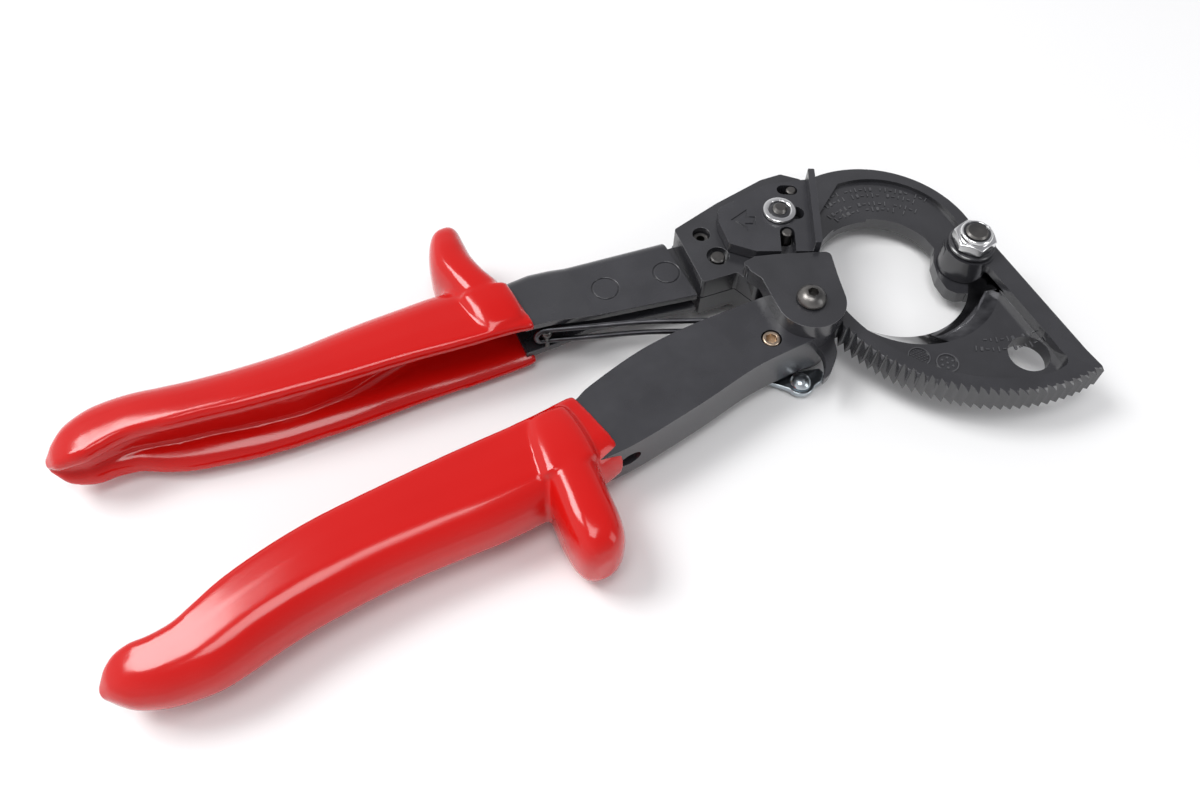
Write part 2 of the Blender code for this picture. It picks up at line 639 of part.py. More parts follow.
def guard(name, stations):
    """A thumb guard: rounded rings stacked across the tool."""
    rings = []
    for y, x, half_width, half_height in stations:
        middle = FLOOR_Z + half_height
        ring_points = oval(0.0, x - half_width, x + half_width, half_height, middle, 14, 0.8)
        rings.append([(px, y, pz) for _, px, pz in ring_points])
    return loft(name, rings)


def grip_bore(name, stations):
    """The room that a grip leaves for the steel inside it."""
    rings = []
    for x, low, high, bottom, top in stations:
        rings.append([(x, low, bottom), (x, high, bottom), (x, high, top), (x, low, top)])
    return loft(name, rings)


def fixed_grip():
    stations = [(-118.0, 20.9, 40.5, 8.6), (-121.0, 20.8, 40.7, 8.8), (-136.0, 21.2, 41.2, 8.9),
                (-155.0, 21.7, 40.7, 8.9), (-173.0, 21.9, 39.7, 8.8), (-190.0, 23.1, 40.2, 8.6),
                (-205.0, 25.9, 42.1, 8.2), (-214.0, 29.4, 43.5, 7.4), (-221.0, 31.6, 43.6, 6.2),
                (-227.0, 32.0, 41.8, 5.0), (-231.0, 33.4, 38.8, 3.2), (-233.6, 35.2, 37.2, 1.0)]
    rings = [oval(x, low, high, height) for x, low, high, height in stations]
    grip = loft("fixed_grip", rings, red_vinyl)
    join(grip, guard("fixed_guard", [(34.0, -127.6, 5.2, 10.0), (40.0, -128.4, 5.8, 11.0),
                                     (47.0, -129.0, 5.4, 11.0), (54.0, -128.2, 4.9, 10.6),
                                     (59.5, -126.8, 3.8, 9.4), (62.2, -125.8, 2.0, 7.6)]))
    bore = [(-110.0, 22.2, 39.0, -4.4, 9.6), (-119.0, 22.3, 39.0, -4.4, 9.6),
            (-160.0, 23.4, 38.6, -4.4, 9.6), (-182.0, 24.6, 38.0, -4.2, 9.4),
            (-204.6, 28.4, 39.6, -4.0, 9.2)]
    cut(grip, grip_bore("fixed_grip_bore", bore))
    return grip


def moving_grip():
    stations = [(-116.0, -21.2, 1.2, 8.6), (-119.0, -21.6, 0.0, 8.9), (-136.0, -23.4, -2.4, 8.9),
                (-160.6, -24.2, -4.6, 8.9), (-173.0, -24.3, -6.0, 8.8), (-186.0, -25.6, -8.2, 8.6),
                (-203.6, -28.8, -12.1, 8.2), (-211.0, -30.1, -14.9, 7.6), (-217.0, -30.3, -17.4, 6.6),
                (-223.0, -29.0, -17.8, 5.6), (-228.2, -26.6, -18.8, 4.4), (-232.6, -23.4, -21.2, 1.0)]
    rings = [oval(x, low, high, height) for x, low, high, height in stations]
    grip = loft("moving_grip", rings, red_vinyl)
    join(grip, guard("moving_guard", [(-14.0, -127.6, 5.2, 10.0), (-20.0, -127.6, 5.6, 11.0),
                                      (-28.0, -128.0, 5.8, 11.0), (-36.0, -128.4, 5.8, 10.6),
                                      (-40.4, -128.8, 4.6, 9.4), (-43.0, -129.0, 2.2, 7.6)]))
    bore = [(-105.0, -19.2, 3.9, -4.1, 9.3), (-118.0, -19.1, -1.3, -4.1, 9.3),
            (-136.0, -20.3, -3.9, -4.1, 9.3), (-160.0, -21.3, -6.1, -4.1, 9.3),
            (-186.0, -23.3, -10.1, -4.1, 9.3), (-205.6, -26.7, -14.9, -4.1, 9.3)]
    cut(grip, grip_bore("moving_grip_bore", bore))
    return grip


# ---------------------------------------------------------------- assembly

tool = bpy.data.objects.new("cutter", None)
bpy.context.scene.collection.objects.link(tool)
tool.location = [value * MM for value in ORIGIN]
jaw_axis = pivot("jaw_axis", JAW_PIVOT, tool)
handle_axis = pivot("handle_axis", HANDLE_PIVOT, tool)
pawl_axis = pivot("pawl_axis", PAWL_PIVOT, tool)
slide_axis = pivot("slide_axis", GUIDE_BOLT, tool)

fixed_pieces = [fixed_jaw(), frame_cover(), *jaw_pivot(), *handle_pivot(), *lever_guide(),
                disc("frame_pin", FRAME_PIN_AT, FRAME_PIN, -3.9, 8.7, dark_steel, 16), fixed_handle(),
                *tang_rivets(), fixed_grip(),
                disc("spring_anchor_pin", ANCHOR_AT, ANCHOR, -4.0, 7.8, bright_steel, 16)]
groups = [
    (tool, fixed_pieces),
    (jaw_axis, [moving_blade()]),
    (handle_axis, [moving_handle(), moving_grip(), handle_spring()]),
    (pawl_axis, [drive_pawl(), drive_pawl_pin(), drive_pawl_spring(), *lock_parts()]),
    (slide_axis, [release_lever(), holding_pawl(), pawl_pin("pawl_pin_upper", PIN_UPPER),
                  pawl_pin("pawl_pin_lower", PIN_LOWER), holding_pawl_spring()]),
]
for axis, pieces in groups:
    for piece in pieces:
        piece.parent = axis
        if axis is not tool:
            piece.location -= axis.location

# Guides follow the tool, so that they stay in place against the pieces they shape.
for guide in cutters.objects:
    guide.parent = tool
bpy.context.view_layer.update()
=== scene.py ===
"""Looks of the ratcheting cable cutter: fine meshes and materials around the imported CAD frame."""

import json
import math

import bmesh
import bpy
from mathutils import Matrix, Vector


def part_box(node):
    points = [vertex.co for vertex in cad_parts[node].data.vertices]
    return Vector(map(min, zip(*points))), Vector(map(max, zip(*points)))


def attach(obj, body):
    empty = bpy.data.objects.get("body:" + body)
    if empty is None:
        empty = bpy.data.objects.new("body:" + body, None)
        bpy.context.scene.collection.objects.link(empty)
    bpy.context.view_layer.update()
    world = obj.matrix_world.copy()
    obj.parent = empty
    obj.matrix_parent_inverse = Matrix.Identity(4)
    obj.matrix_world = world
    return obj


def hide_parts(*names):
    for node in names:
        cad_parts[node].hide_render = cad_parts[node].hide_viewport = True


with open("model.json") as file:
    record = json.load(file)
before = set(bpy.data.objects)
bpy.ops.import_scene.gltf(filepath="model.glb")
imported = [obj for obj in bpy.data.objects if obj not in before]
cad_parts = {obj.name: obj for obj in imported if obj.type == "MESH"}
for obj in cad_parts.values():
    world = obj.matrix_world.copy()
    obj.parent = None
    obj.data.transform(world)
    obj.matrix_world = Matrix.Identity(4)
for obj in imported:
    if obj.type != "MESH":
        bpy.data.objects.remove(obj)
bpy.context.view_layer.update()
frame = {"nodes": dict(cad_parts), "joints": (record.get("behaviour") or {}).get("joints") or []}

MM = 0.001
joints = {joint["name"]: joint for joint in frame["joints"]}
jaw_pos = joints["blade_hinge"]["pos_m"]
ORIGIN = Vector((jaw_pos[0], jaw_pos[1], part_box("moving_blade")[0].z))


def plan(joint):
    """A hinge's place in the design plane, in millimetres from the jaw pivot."""
    place = (Vector(joints[joint]["pos_m"]) - ORIGIN) / MM
    return (place.x, place.y)


def middle(node):
    low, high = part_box(node)
    place = ((low + high) / 2 - ORIGIN) / MM
    return (place.x, place.y)


def levels(node):
    """Lowest and highest level of a node, in millimetres from the underside of the blade."""
    low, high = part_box(node)
    return (low.z - ORIGIN.z) / MM, (high.z - ORIGIN.z) / MM


JAW = (0.0, 0.0)
HANDLE = plan("handle_hinge")
SCREW = plan("feed_pawl_hinge")
GUIDE = middle("lever_guide_bolt")
KNOB = middle("lock_knob")
RING_PIN = middle("frame_pin")
ANCHOR = middle("spring_anchor_pin")
RIVETS = [middle("tang_rivet_rear"), middle("tang_rivet_front")]
SLIDE = Vector(joints["lever_slide"]["axis"]).normalized()
FLOOR = levels("handle_pivot_nut")[0]

TOOTH_TIP = 47.2
TOOTH_ROOT = 45.3
TOOTH_STEP = 3.0
SWEEP = TOOTH_TIP + 0.6
JAW_TOP = -0.3
FRAME_BOTTOM, BLOCK_TOP = -4.0, 9.2
SPLIT_LOW, SPLIT_HIGH = 2.45, 2.75
ROOF = 7.3
EAR_TOP = levels("frame_cover")[1]
MIDDLE = 2.6


# ---------------------------------------------------------------- mesh kit

def linked(name, data):
    """A new object in the scene."""
    obj = bpy.data.objects.new(name, data)
    bpy.context.scene.collection.objects.link(obj)
    return obj


def placed(shape, name):
    """The shape as an object at the jaw pivot."""
    mesh = bpy.data.meshes.new(name)
    shape.to_mesh(mesh)
    shape.free()
    obj = linked(name, mesh)
    obj.location = ORIGIN
    return obj


def collect(shape, name):
    bmesh.ops.recalc_face_normals(shape, faces=shape.faces)
    return placed(shape, name)


def arc(centre, radius, start, end, steps):
    points = []
    for i in range(steps + 1):
        angle = math.radians(start + (end - start) * i / steps)
        points.append((centre[0] + radius * math.cos(angle), centre[1] + radius * math.sin(angle)))
    return points


def hexagon(centre, across_flats, turn=0.0):
    return arc(centre, across_flats / math.sqrt(3.0), turn, turn + 300.0, 5)


def slot_outline(start, end, radius, steps=10):
    heading = math.degrees(math.atan2(end[1] - start[1], end[0] - start[0]))
    return (arc(end, radius, heading - 90.0, heading + 90.0, steps)
            + arc(start, radius, heading + 90.0, heading + 270.0, steps))


def rounded(points, radius, steps=5, keep=()):
    """The outline with its corners rounded; corners whose index is in keep stay sharp."""
    result = []
    count = len(points)
    for i, point in enumerate(points):
        here = Vector(point)
        before = Vector(points[i - 1]) - here
        after = Vector(points[(i + 1) % count]) - here
        bend = math.pi - before.angle(after)
        if i in keep or bend < math.radians(4.0):
            result.append(tuple(here))
            continue
        half = (math.pi - bend) / 2
        reach = min(radius / math.tan(half), before.length * 0.45, after.length * 0.45)
        real = reach * math.tan(half)
        centre = here + (before.normalized() + after.normalized()).normalized() * (real / math.sin(half))
        one = here + before.normalized() * reach - centre
        two = here + after.normalized() * reach - centre
        sweep = one.angle_signed(two)
        pieces = max(2, int(steps * bend / math.radians(60.0)))
        for k in range(pieces + 1):
            turned_by = -sweep * k / pieces
            result.append(tuple(centre + Matrix.Rotation(turned_by, 2) @ one))
    return result


def prism(outline, bottom, top):
    """A flat solid between two levels, and its lower and upper corners."""
    shape = bmesh.new()
    lower = [shape.verts.new((x * MM, y * MM, bottom * MM)) for x, y in outline]
    upper = [shape.verts.new((x * MM, y * MM, top * MM)) for x, y in outline]
    shape.faces.new(lower[::-1])
    shape.faces.new(upper)
    count = len(outline)
    for i in range(count):
        j = (i + 1) % count
        shape.faces.new((lower[i], lower[j], upper[j], upper[i]))
    return shape, lower, upper


def slab(name, outline, bottom, top):
    return collect(prism(outline, bottom, top)[0], name)


def lathe(name, centre, profile, steps=48):
    """A solid of revolution; the profile is (radius, level) from top to bottom."""
    shape = bmesh.new()
    rings = []
    for radius, level in profile:
        if radius < 1e-6:
            rings.append([shape.verts.new((centre[0] * MM, centre[1] * MM, level * MM))])
            continue
        ring = []
        for x, y in arc(centre, radius, 0.0, 360.0 - 360.0 / steps, steps - 1):
            ring.append(shape.verts.new((x * MM, y * MM, level * MM)))
        rings.append(ring)
    pairs = list(zip(rings, rings[1:]))
    has_bore = profile[0][0] > 1e-6
    if has_bore:
        pairs.append((rings[-1], rings[0]))
    for one, two in pairs:
        for i in range(steps):
            j = (i + 1) % steps
            if len(one) == 1:
                shape.faces.new((one[0], two[i], two[j]))
            elif len(two) == 1:
                shape.faces.new((one[i], two[0], one[j]))
            else:
                shape.faces.new((one[i], two[i], two[j], one[j]))
    return collect(shape, name)


def tube(name, points, radius, sides):
    """A round wire with flat ends through points in space, in millimetres."""
    curve = bpy.data.curves.new(name, "CURVE")
    curve.dimensions = "3D"
    curve.bevel_depth = radius * MM
    curve.bevel_resolution = sides // 2 - 2
    curve.use_fill_caps = True
    spline = curve.splines.new("POLY")
    spline.points.add(len(points) - 1)
    for point, (x, y, z) in zip(spline.points, points):
        point.co = (x * MM, y * MM, z * MM, 1.0)
    obj = linked(name, curve)
    obj.location = ORIGIN
    return baked(obj)


def smooth_path(points, steps):
    """A Catmull-Rom curve through given points."""
    path = []
    vectors = [Vector(point) for point in points]
    for i in range(len(vectors) - 1):
        a = vectors[max(i - 1, 0)]
        b, c = vectors[i], vectors[i + 1]
        d = vectors[min(i + 2, len(vectors) - 1)]
        for k in range(steps):
            t = k / steps
            path.append(tuple(0.5 * (2 * b + (c - a) * t + (2 * a - 5 * b + 4 * c - d) * t ** 2
                                     + (3 * b - a - 3 * c + d) * t ** 3)))
    path.append(tuple(vectors[-1]))
    return path


def baked(obj):
    """The object as one plain mesh, with its modifiers applied."""
    bpy.context.view_layer.update()
    evaluated = obj.evaluated_get(bpy.context.evaluated_depsgraph_get())
    mesh = bpy.data.meshes.new_from_object(evaluated)
    name = obj.name
    place = obj.matrix_world.copy()
    bpy.data.objects.remove(obj, do_unlink=True)
    mesh.name = name
    fresh = linked(name, mesh)
    fresh.matrix_world = place
    return fresh


def boolean(obj, others, operation):
    for other in others:
        modifier = obj.modifiers.new("boolean", "BOOLEAN")
        modifier.operation = operation
        modifier.object = other
        modifier.material_mode = "TRANSFER"
    result = baked(obj)
    for other in others:
        bpy.data.objects.remove(other, do_unlink=True)
    return result


def cut(obj, *others):
    return boolean(obj, others, "DIFFERENCE")


def join(obj, *others):
    return boolean(obj, others, "UNION")


def shade(obj, angle=32.0):
    obj.data.shade_smooth()
    obj.data.set_sharp_from_angle(angle=math.radians(angle))
    return obj


def bevelled(obj, width, segments=2, angle=34.0, rim=None):
    """Rounds the outer edges and shades the rest flat; a rim material, if given, goes on the rounded faces
    as a painted highlight along the edges.
    """
    shape = bmesh.new()
    shape.from_mesh(obj.data)
    bmesh.ops.remove_doubles(shape, verts=shape.verts, dist=0.00002)
    bmesh.ops.dissolve_limit(shape, angle_limit=math.radians(0.6), verts=shape.verts, edges=shape.edges,
                             delimit={"MATERIAL"})
    weight = shape.edges.layers.float.new("bevel_weight_edge")
    for face in shape.faces:
        face.smooth = True
    for edge in shape.edges:
        fold = math.degrees(edge.calc_face_angle_signed(0.0))
        if fold > angle:
            edge[weight] = 1.0
        elif fold < -angle:
            edge.smooth = False
    shape.to_mesh(obj.data)
    shape.free()
    bevel = obj.modifiers.new("bevel", "BEVEL")
    bevel.width = width * MM
    bevel.segments = segments
    bevel.limit_method = "WEIGHT"
    if rim is not None:
        if not obj.data.materials:
            obj.data.materials.append(None)
        obj.data.materials.append(rim)
        bevel.material = len(obj.data.materials) - 1
    bevel.use_clamp_overlap = True
    bevel.harden_normals = False
    weighted = obj.modifiers.new("normals", "WEIGHTED_NORMAL")
    weighted.keep_sharp = True
    weighted.weight = 80
    return baked(obj)


# ---------------------------------------------------------------- materials

def new_material(name):
    material = bpy.data.materials.new(name)
    material.use_nodes = True
    return material, material.node_tree, material.node_tree.nodes["Principled BSDF"]


def ramp(tree, source, low, high, colours):
    """A colour ramp between two places on a value."""
    made = tree.nodes.new("ShaderNodeValToRGB")
    made.color_ramp.elements[0].position = low
    made.color_ramp.elements[1].position = high
    made.color_ramp.elements[0].color = (*colours[0], 1.0)
    made.color_ramp.elements[1].color = (*colours[1], 1.0)
    tree.links.new(source, made.inputs["Fac"])
    return made.outputs["Color"]


def spread(tree, source, low, high):
    """Maps a value from 0..1 to a range."""
    made = tree.nodes.new("ShaderNodeMapRange")
    made.inputs["To Min"].default_value = low
    made.inputs["To Max"].default_value = high
    tree.links.new(source, made.inputs["Value"])
    return made.outputs["Result"]


def surface_noise(tree, scale, detail=4.0, roughness=0.55, stretch=None):
    coordinates = tree.nodes.new("ShaderNodeTexCoord")
    made = tree.nodes.new("ShaderNodeTexNoise")
    made.inputs["Scale"].default_value = scale
    made.inputs["Detail"].default_value = detail
    made.inputs["Roughness"].default_value = roughness
    source = coordinates.outputs["Object"]
    if stretch is not None:
        mapping = tree.nodes.new("ShaderNodeMapping")
        mapping.inputs["Scale"].default_value = stretch
        tree.links.new(source, mapping.inputs["Vector"])
        source = mapping.outputs["Vector"]
    tree.links.new(source, made.inputs["Vector"])
    return made.outputs["Fac"]


def bump(tree, height, strength, distance, normal=None):
    made = tree.nodes.new("ShaderNodeBump")
    made.inputs["Strength"].default_value = strength
    made.inputs["Distance"].default_value = distance
    tree.links.new(height, made.inputs["Height"])
    if normal is not None:
        tree.links.new(normal, made.inputs["Normal"])
    return made.outputs["Normal"]


def painted(name, dark, light, rough_low, rough_high, grain, depth):
    """Black coating over steel: fine texture and uneven gloss."""
    material, tree, shader = new_material(name)
    broad = surface_noise(tree, 90.0, 3.0)
    fine = surface_noise(tree, grain, 6.0, 0.6)
    tree.links.new(ramp(tree, broad, 0.35, 0.7, (dark, light)), shader.inputs["Base Color"])
    tree.links.new(spread(tree, broad, rough_low, rough_high), shader.inputs["Roughness"])
    tree.links.new(bump(tree, fine, 0.35, depth), shader.inputs["Normal"])
    shader.inputs["Metallic"].default_value = 0.0
    shader.inputs["Specular IOR Level"].default_value = 0.9
    return material


def metal(name, dark, light, rough_low, rough_high, grain=900.0, depth=0.00002, stretch=None):
    """Bare or plated metal with fine turning or grinding marks."""
    material, tree, shader = new_material(name)
    fine = surface_noise(tree, grain, 5.0, 0.6, stretch)
    broad = surface_noise(tree, 160.0, 3.0)
    tree.links.new(ramp(tree, broad, 0.3, 0.7, (dark, light)), shader.inputs["Base Color"])
    tree.links.new(spread(tree, fine, rough_low, rough_high), shader.inputs["Roughness"])
    tree.links.new(bump(tree, fine, 0.3, depth), shader.inputs["Normal"])
    shader.inputs["Metallic"].default_value = 1.0
    return material


def dipped_vinyl():
    """Glossy red dipped vinyl with slow waves from the dip and tiny specks."""
    material, tree, shader = new_material("red_dipped_vinyl")
    broad = surface_noise(tree, 28.0, 2.0, 0.4)
    waves = surface_noise(tree, 75.0, 2.0, 0.5, (0.35, 1.0, 1.0))
    specks = surface_noise(tree, 1400.0, 3.0, 0.6)
    tree.links.new(ramp(tree, broad, 0.3, 0.75, ((0.50, 0.003, 0.002), (0.57, 0.006, 0.004))),
                   shader.inputs["Base Color"])
    tree.links.new(spread(tree, waves, 0.12, 0.19), shader.inputs["Roughness"])
    first = bump(tree, waves, 0.22, 0.0005)
    tree.links.new(bump(tree, specks, 0.12, 0.00003, first), shader.inputs["Normal"])
    shader.inputs["Specular IOR Level"].default_value = 0.42
    shader.inputs["Coat Weight"].default_value = 0.10
    shader.inputs["Coat Roughness"].default_value = 0.10
    return material


CAST = painted("black_cast", (0.022, 0.022, 0.025), (0.030, 0.030, 0.034), 0.17, 0.27, 1500.0, 0.00003)
SHEET = painted("black_sheet", (0.023, 0.023, 0.027), (0.032, 0.032, 0.037), 0.20, 0.30, 2200.0, 0.00002)
# A lighter black for the rounded edges and the raised marks: a painted highlight where light catches them.
PAINTED_HIGHLIGHT = painted("painted_highlight", (0.05, 0.05, 0.055), (0.09, 0.09, 0.095), 0.20, 0.30, 1500.0, 0.00002)
RED = dipped_vinyl()
EDGE = metal("ground_edge", (0.05, 0.05, 0.055), (0.18, 0.18, 0.19), 0.05, 0.11, 500.0, 0.000006,
             (1.0, 0.25, 1.0))
ZINC = metal("bright_zinc", (0.74, 0.74, 0.75), (0.84, 0.84, 0.84), 0.12, 0.22, 900.0, 0.000006)
BLUE_ZINC = metal("blue_zinc", (0.44, 0.50, 0.54), (0.58, 0.62, 0.65), 0.16, 0.28, 900.0, 0.000006)
DARK = metal("oiled_steel", (0.10, 0.10, 0.10), (0.20, 0.19, 0.18), 0.26, 0.42)
BRONZE = metal("bronze", (0.40, 0.29, 0.21), (0.66, 0.54, 0.42), 0.22, 0.36)
SPRING = metal("spring_wire", (0.07, 0.07, 0.075), (0.13, 0.13, 0.14), 0.28, 0.4)


def finish_piece(obj, material, body, slot, *nodes):
    """Gives a piece its finish, its body and the CAD nodes that it stands for."""
    if material is not None:
        if not obj.data.materials:
            obj.data.materials.append(None)
        obj.data.materials[0] = material
    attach(obj, body)
    if nodes:
        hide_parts(*nodes)


# ---------------------------------------------------------------- camera, floor and light

CAMERA_PLACE = Vector((-175.6, -123.9, 217.9)) * MM
CAMERA_TURN = (-28.0, 32.995, 2.974)
LENS = 31.5


def camera():
    data = bpy.data.cameras.new("camera")
    data.lens = LENS
    data.sensor_width = 36.0
    data.clip_start = 0.01
    made = linked("camera", data)
    heading, tilt, roll = (math.radians(angle) for angle in CAMERA_TURN)
    turn = Matrix.Rotation(heading, 4, "Z") @ Matrix.Rotation(tilt, 4, "X") @ Matrix.Rotation(roll, 4, "Z")
    made.matrix_world = Matrix.Translation(ORIGIN + CAMERA_PLACE) @ turn
    bpy.context.scene.camera = made


def floor():
    shape = bmesh.new()
    bmesh.ops.create_grid(shape, x_segments=4, y_segments=4, size=2.5)
    mesh = bpy.data.meshes.new("floor")
    shape.to_mesh(mesh)
    shape.free()
    made = linked("floor", mesh)
    made.location.z = ORIGIN.z + (FLOOR - 0.02) * MM
    material, tree, shader = new_material("pale_floor")
    broad = surface_noise(tree, 3.0, 2.0)
    tree.links.new(ramp(tree, broad, 0.3, 0.7, ((0.85, 0.85, 0.85), (0.87, 0.87, 0.87))),
                   shader.inputs["Base Color"])
    shader.inputs["Roughness"].default_value = 0.75
    mesh.materials.append(material)


def area_light(name, place, target, size, energy):
    data = bpy.data.lights.new(name, "AREA")
    data.shape = "RECTANGLE"
    data.size, data.size_y = size
    data.energy = energy
    made = linked(name, data)
    made.location = place
    made.rotation_euler = (Vector(target) - Vector(place)).to_track_quat("-Z", "Y").to_euler()


def lights():
    """A pale room, darker overhead towards the jaw, a key from the back left and two soft fills."""
    world = bpy.data.worlds.new("studio")
    world.use_nodes = True
    tree = world.node_tree
    coordinates = tree.nodes.new("ShaderNodeTexCoord")
    overhead = tree.nodes.new("ShaderNodeVectorMath")
    overhead.operation = "DOT_PRODUCT"
    overhead.inputs[1].default_value = (0.45, -0.20, 0.87)
    tree.links.new(coordinates.outputs["Generated"], overhead.inputs[0])
    sky = ramp(tree, overhead.outputs["Value"], 0.05, 0.88, ((0.84, 0.84, 0.85), (0.30, 0.30, 0.315)))
    tree.links.new(sky, tree.nodes["Background"].inputs["Color"])
    bpy.context.scene.world = world
    area_light("key", (-0.52, 0.42, 0.95), (-0.02, 0.0, 0.0), (0.45, 0.45), 8.0)
    area_light("top", (-0.12, -0.16, 1.0), (0.0, 0.0, 0.0), (0.4, 0.4), 3.0)
    area_light("right", (0.60, -0.60, 0.40), (0.0, 0.0, 0.0), (0.3, 0.6), 1.4)


# ---------------------------------------------------------------- head

BLOCK_HOLE = (-65.0, 31.9)
BLOCK_CORNER = [(-40.6, 42.7)]
BLOCK_LEFT = [(-56.0, 40.0), (-70.8, 36.3), (-72.4, 17.3), (-62.7, 16.6), (-60.2, 9.8)]
COVER_RIGHT = [(-43.4, 9.8), (-30.4, 34.3), (-30.3, 38.5), (-34.4, 42.4)]
PAWL_ROOM = [(-8.0, -10.3), (6.4, -10.3), (6.4, 11.3), (-8.0, 11.3)]
JAW_RECESS = JAW_TOP - 1.2
BLADE_TOP, WEB_TOP = 7.0, 4.0
HANG_HOLE = (-5.2, -33.7)


def on_slide(u, v):
    return (GUIDE[0] + u * SLIDE.x + v * SLIDE.y, GUIDE[1] + u * SLIDE.y - v * SLIDE.x)


def on_slide_all(points):
    return [on_slide(u, v) for u, v in points]


def plain_marks(name, centre, rows, bottom, height):
    """Raised plain bars in arcs, where the casting carries its raised marks."""
    shape = bmesh.new()
    step = 1.45
    sizes = ((1.5, 0.32), (0.32, 0.9), (1.5, 0.32), (0.9, 0.32), (0.32, 0.9), (1.2, 0.7))
    for radius, start, end in rows:
        count = int(abs(end - start) / math.degrees(step / radius))
        for i in range(count + 1):
            if i % 7 == 6:
                continue
            angle = math.radians(start + (end - start) * i / max(count, 1))
            long, wide = sizes[(i * 5 + count) % 6]
            turn = Matrix.Rotation(angle, 4, "Z")
            scale = Matrix.Diagonal((long * MM, wide * MM, height * MM, 1.0))
            place = Matrix.Translation((centre[0] * MM, centre[1] * MM, (bottom + height / 2 - 0.05) * MM))
            move = Matrix.Translation((radius * MM, 0.0, 0.0))
            bmesh.ops.create_cube(shape, size=1.0, matrix=place @ turn @ move @ scale)
    return collect(shape, name)


def cable_marks(bottom):
    """Two raised rings filled with dots: the cut ends of a fine and a coarse cable."""
    pieces = []
    for centre, radius, dot, gap in (((-31.6, -22.9), 2.9, 0.2, 0.8), ((-26.1, -27.5), 2.9, 0.42, 1.55)):
        rim = [(radius - 0.3, bottom + 0.3), (radius, bottom + 0.3), (radius, bottom - 0.05),
               (radius - 0.3, bottom - 0.05)]
        pieces.append(lathe("cable_ring", centre, rim, 40))
        count = int(radius / gap) + 1
        for i in range(-count, count + 1):
            for j in range(-count, count + 1):
                x, y = (i + 0.5 * j) * gap, j * gap * 0.866
                if math.hypot(x, y) < radius - 0.4 - dot:
                    place = (centre[0] + x, centre[1] + y)
                    bead = [(0.0, bottom + 0.3), (dot * 0.7, bottom + 0.26), (dot, bottom - 0.05),
                            (0.0, bottom - 0.05)]
                    pieces.append(lathe("cable_dot", place, bead, 8))
    return merged("cable_marks", pieces)


def fixed_jaw():
    neck = [(-50.0, 9.8), (-45.6, 6.2), (-43.0, 3.6), (-38.4, 5.6)]
    opening = arc((-20.7, 8.4), 17.55, 185.0, 12.0, 64)
    nose = rounded([(-3.5, 10.0), (-3.3, 8.0), (-6.4, 4.2), (-8.4, -0.8), (-8.7, -5.6), (-6.8, -8.0),
                    (-4.6, -8.6)], 2.4, 8, keep=(0, 6))
    pivot_end = arc(JAW, 10.0, 242.0, 382.0, 36)
    back = arc((-18.0, 15.0), 30.0, -3.0, 95.0, 72)
    outline = neck + opening + nose + pivot_end + back + BLOCK_CORNER + BLOCK_LEFT
    jaw = slab("fixed_jaw", outline, FRAME_BOTTOM, JAW_TOP)

    riser = slab("riser", COVER_RIGHT + BLOCK_CORNER + BLOCK_LEFT, -2.0, SPLIT_LOW)
    blade_room = [(0.0, 9.0), (SWEEP, 9.0), (SWEEP, JAW_TOP), (0.0, JAW_TOP)]
    riser = cut(riser, lathe("blade_room", JAW, blade_room, 160))
    tang = slab("tang", [(-70.0, 19.0), (-70.0, 36.0), (-99.0, 37.0), (-100.0, 24.4)], -0.15, 2.2)
    ear = slab("lower_ear", rounded([(-44.4, 14.0), (-60.0, 15.0), (-59.9, -1.4)], 1.0, keep=(0, 1, 2))
               + arc(HANDLE, 7.6, 180.0, 360.0, 36) + [(-44.7, 3.0)], -6.5, FRAME_BOTTOM + 0.05)
    jaw = join(jaw, riser, tang, ear)

    recess = ([(-28.4, 26.4), (-25.3, 32.4), (-14.6, 39.9)] + arc((-14.7, 16.5), 23.3, 87.0, -6.0, 40)
              + arc(JAW, 9.6, 38.0, 108.0, 12) + arc((-20.9, 4.2), 21.6, 32.0, 104.0, 32))
    jaw = cut(jaw, slab("recess", rounded(recess, 0.5, 3), JAW_RECESS, JAW_TOP + 1.0),
              slab("pawl_pocket", on_slide_all(PAWL_ROOM), -0.1, 6.0),
              lathe("ear_hole", HANDLE, [(0.0, 2.0), (2.0, 2.0), (2.0, -12.0), (0.0, -12.0)]),
              lathe("block_hole", BLOCK_HOLE, [(0.0, 9.0), (2.35, 9.0), (2.35, -12.0), (0.0, -12.0)]))
    # The rounded edges carry a painted highlight.
    jaw = bevelled(jaw, 0.32, 3, rim=PAINTED_HIGHLIGHT)
    finish_piece(jaw, CAST, "frame", "cast_black", "fixed_jaw")
    rows = [(27.6, 104.0, 34.0), (25.3, 104.0, 40.0), (22.0, 106.0, 36.0), (19.9, 104.0, 44.0)]
    marks = plain_marks("jaw_marks", (-17.0, 9.5), rows, JAW_RECESS, 0.32)
    # The raised marks are coloured lighter as a painted highlight.
    finish_piece(shade(marks), PAINTED_HIGHLIGHT, "frame", "cast_black")


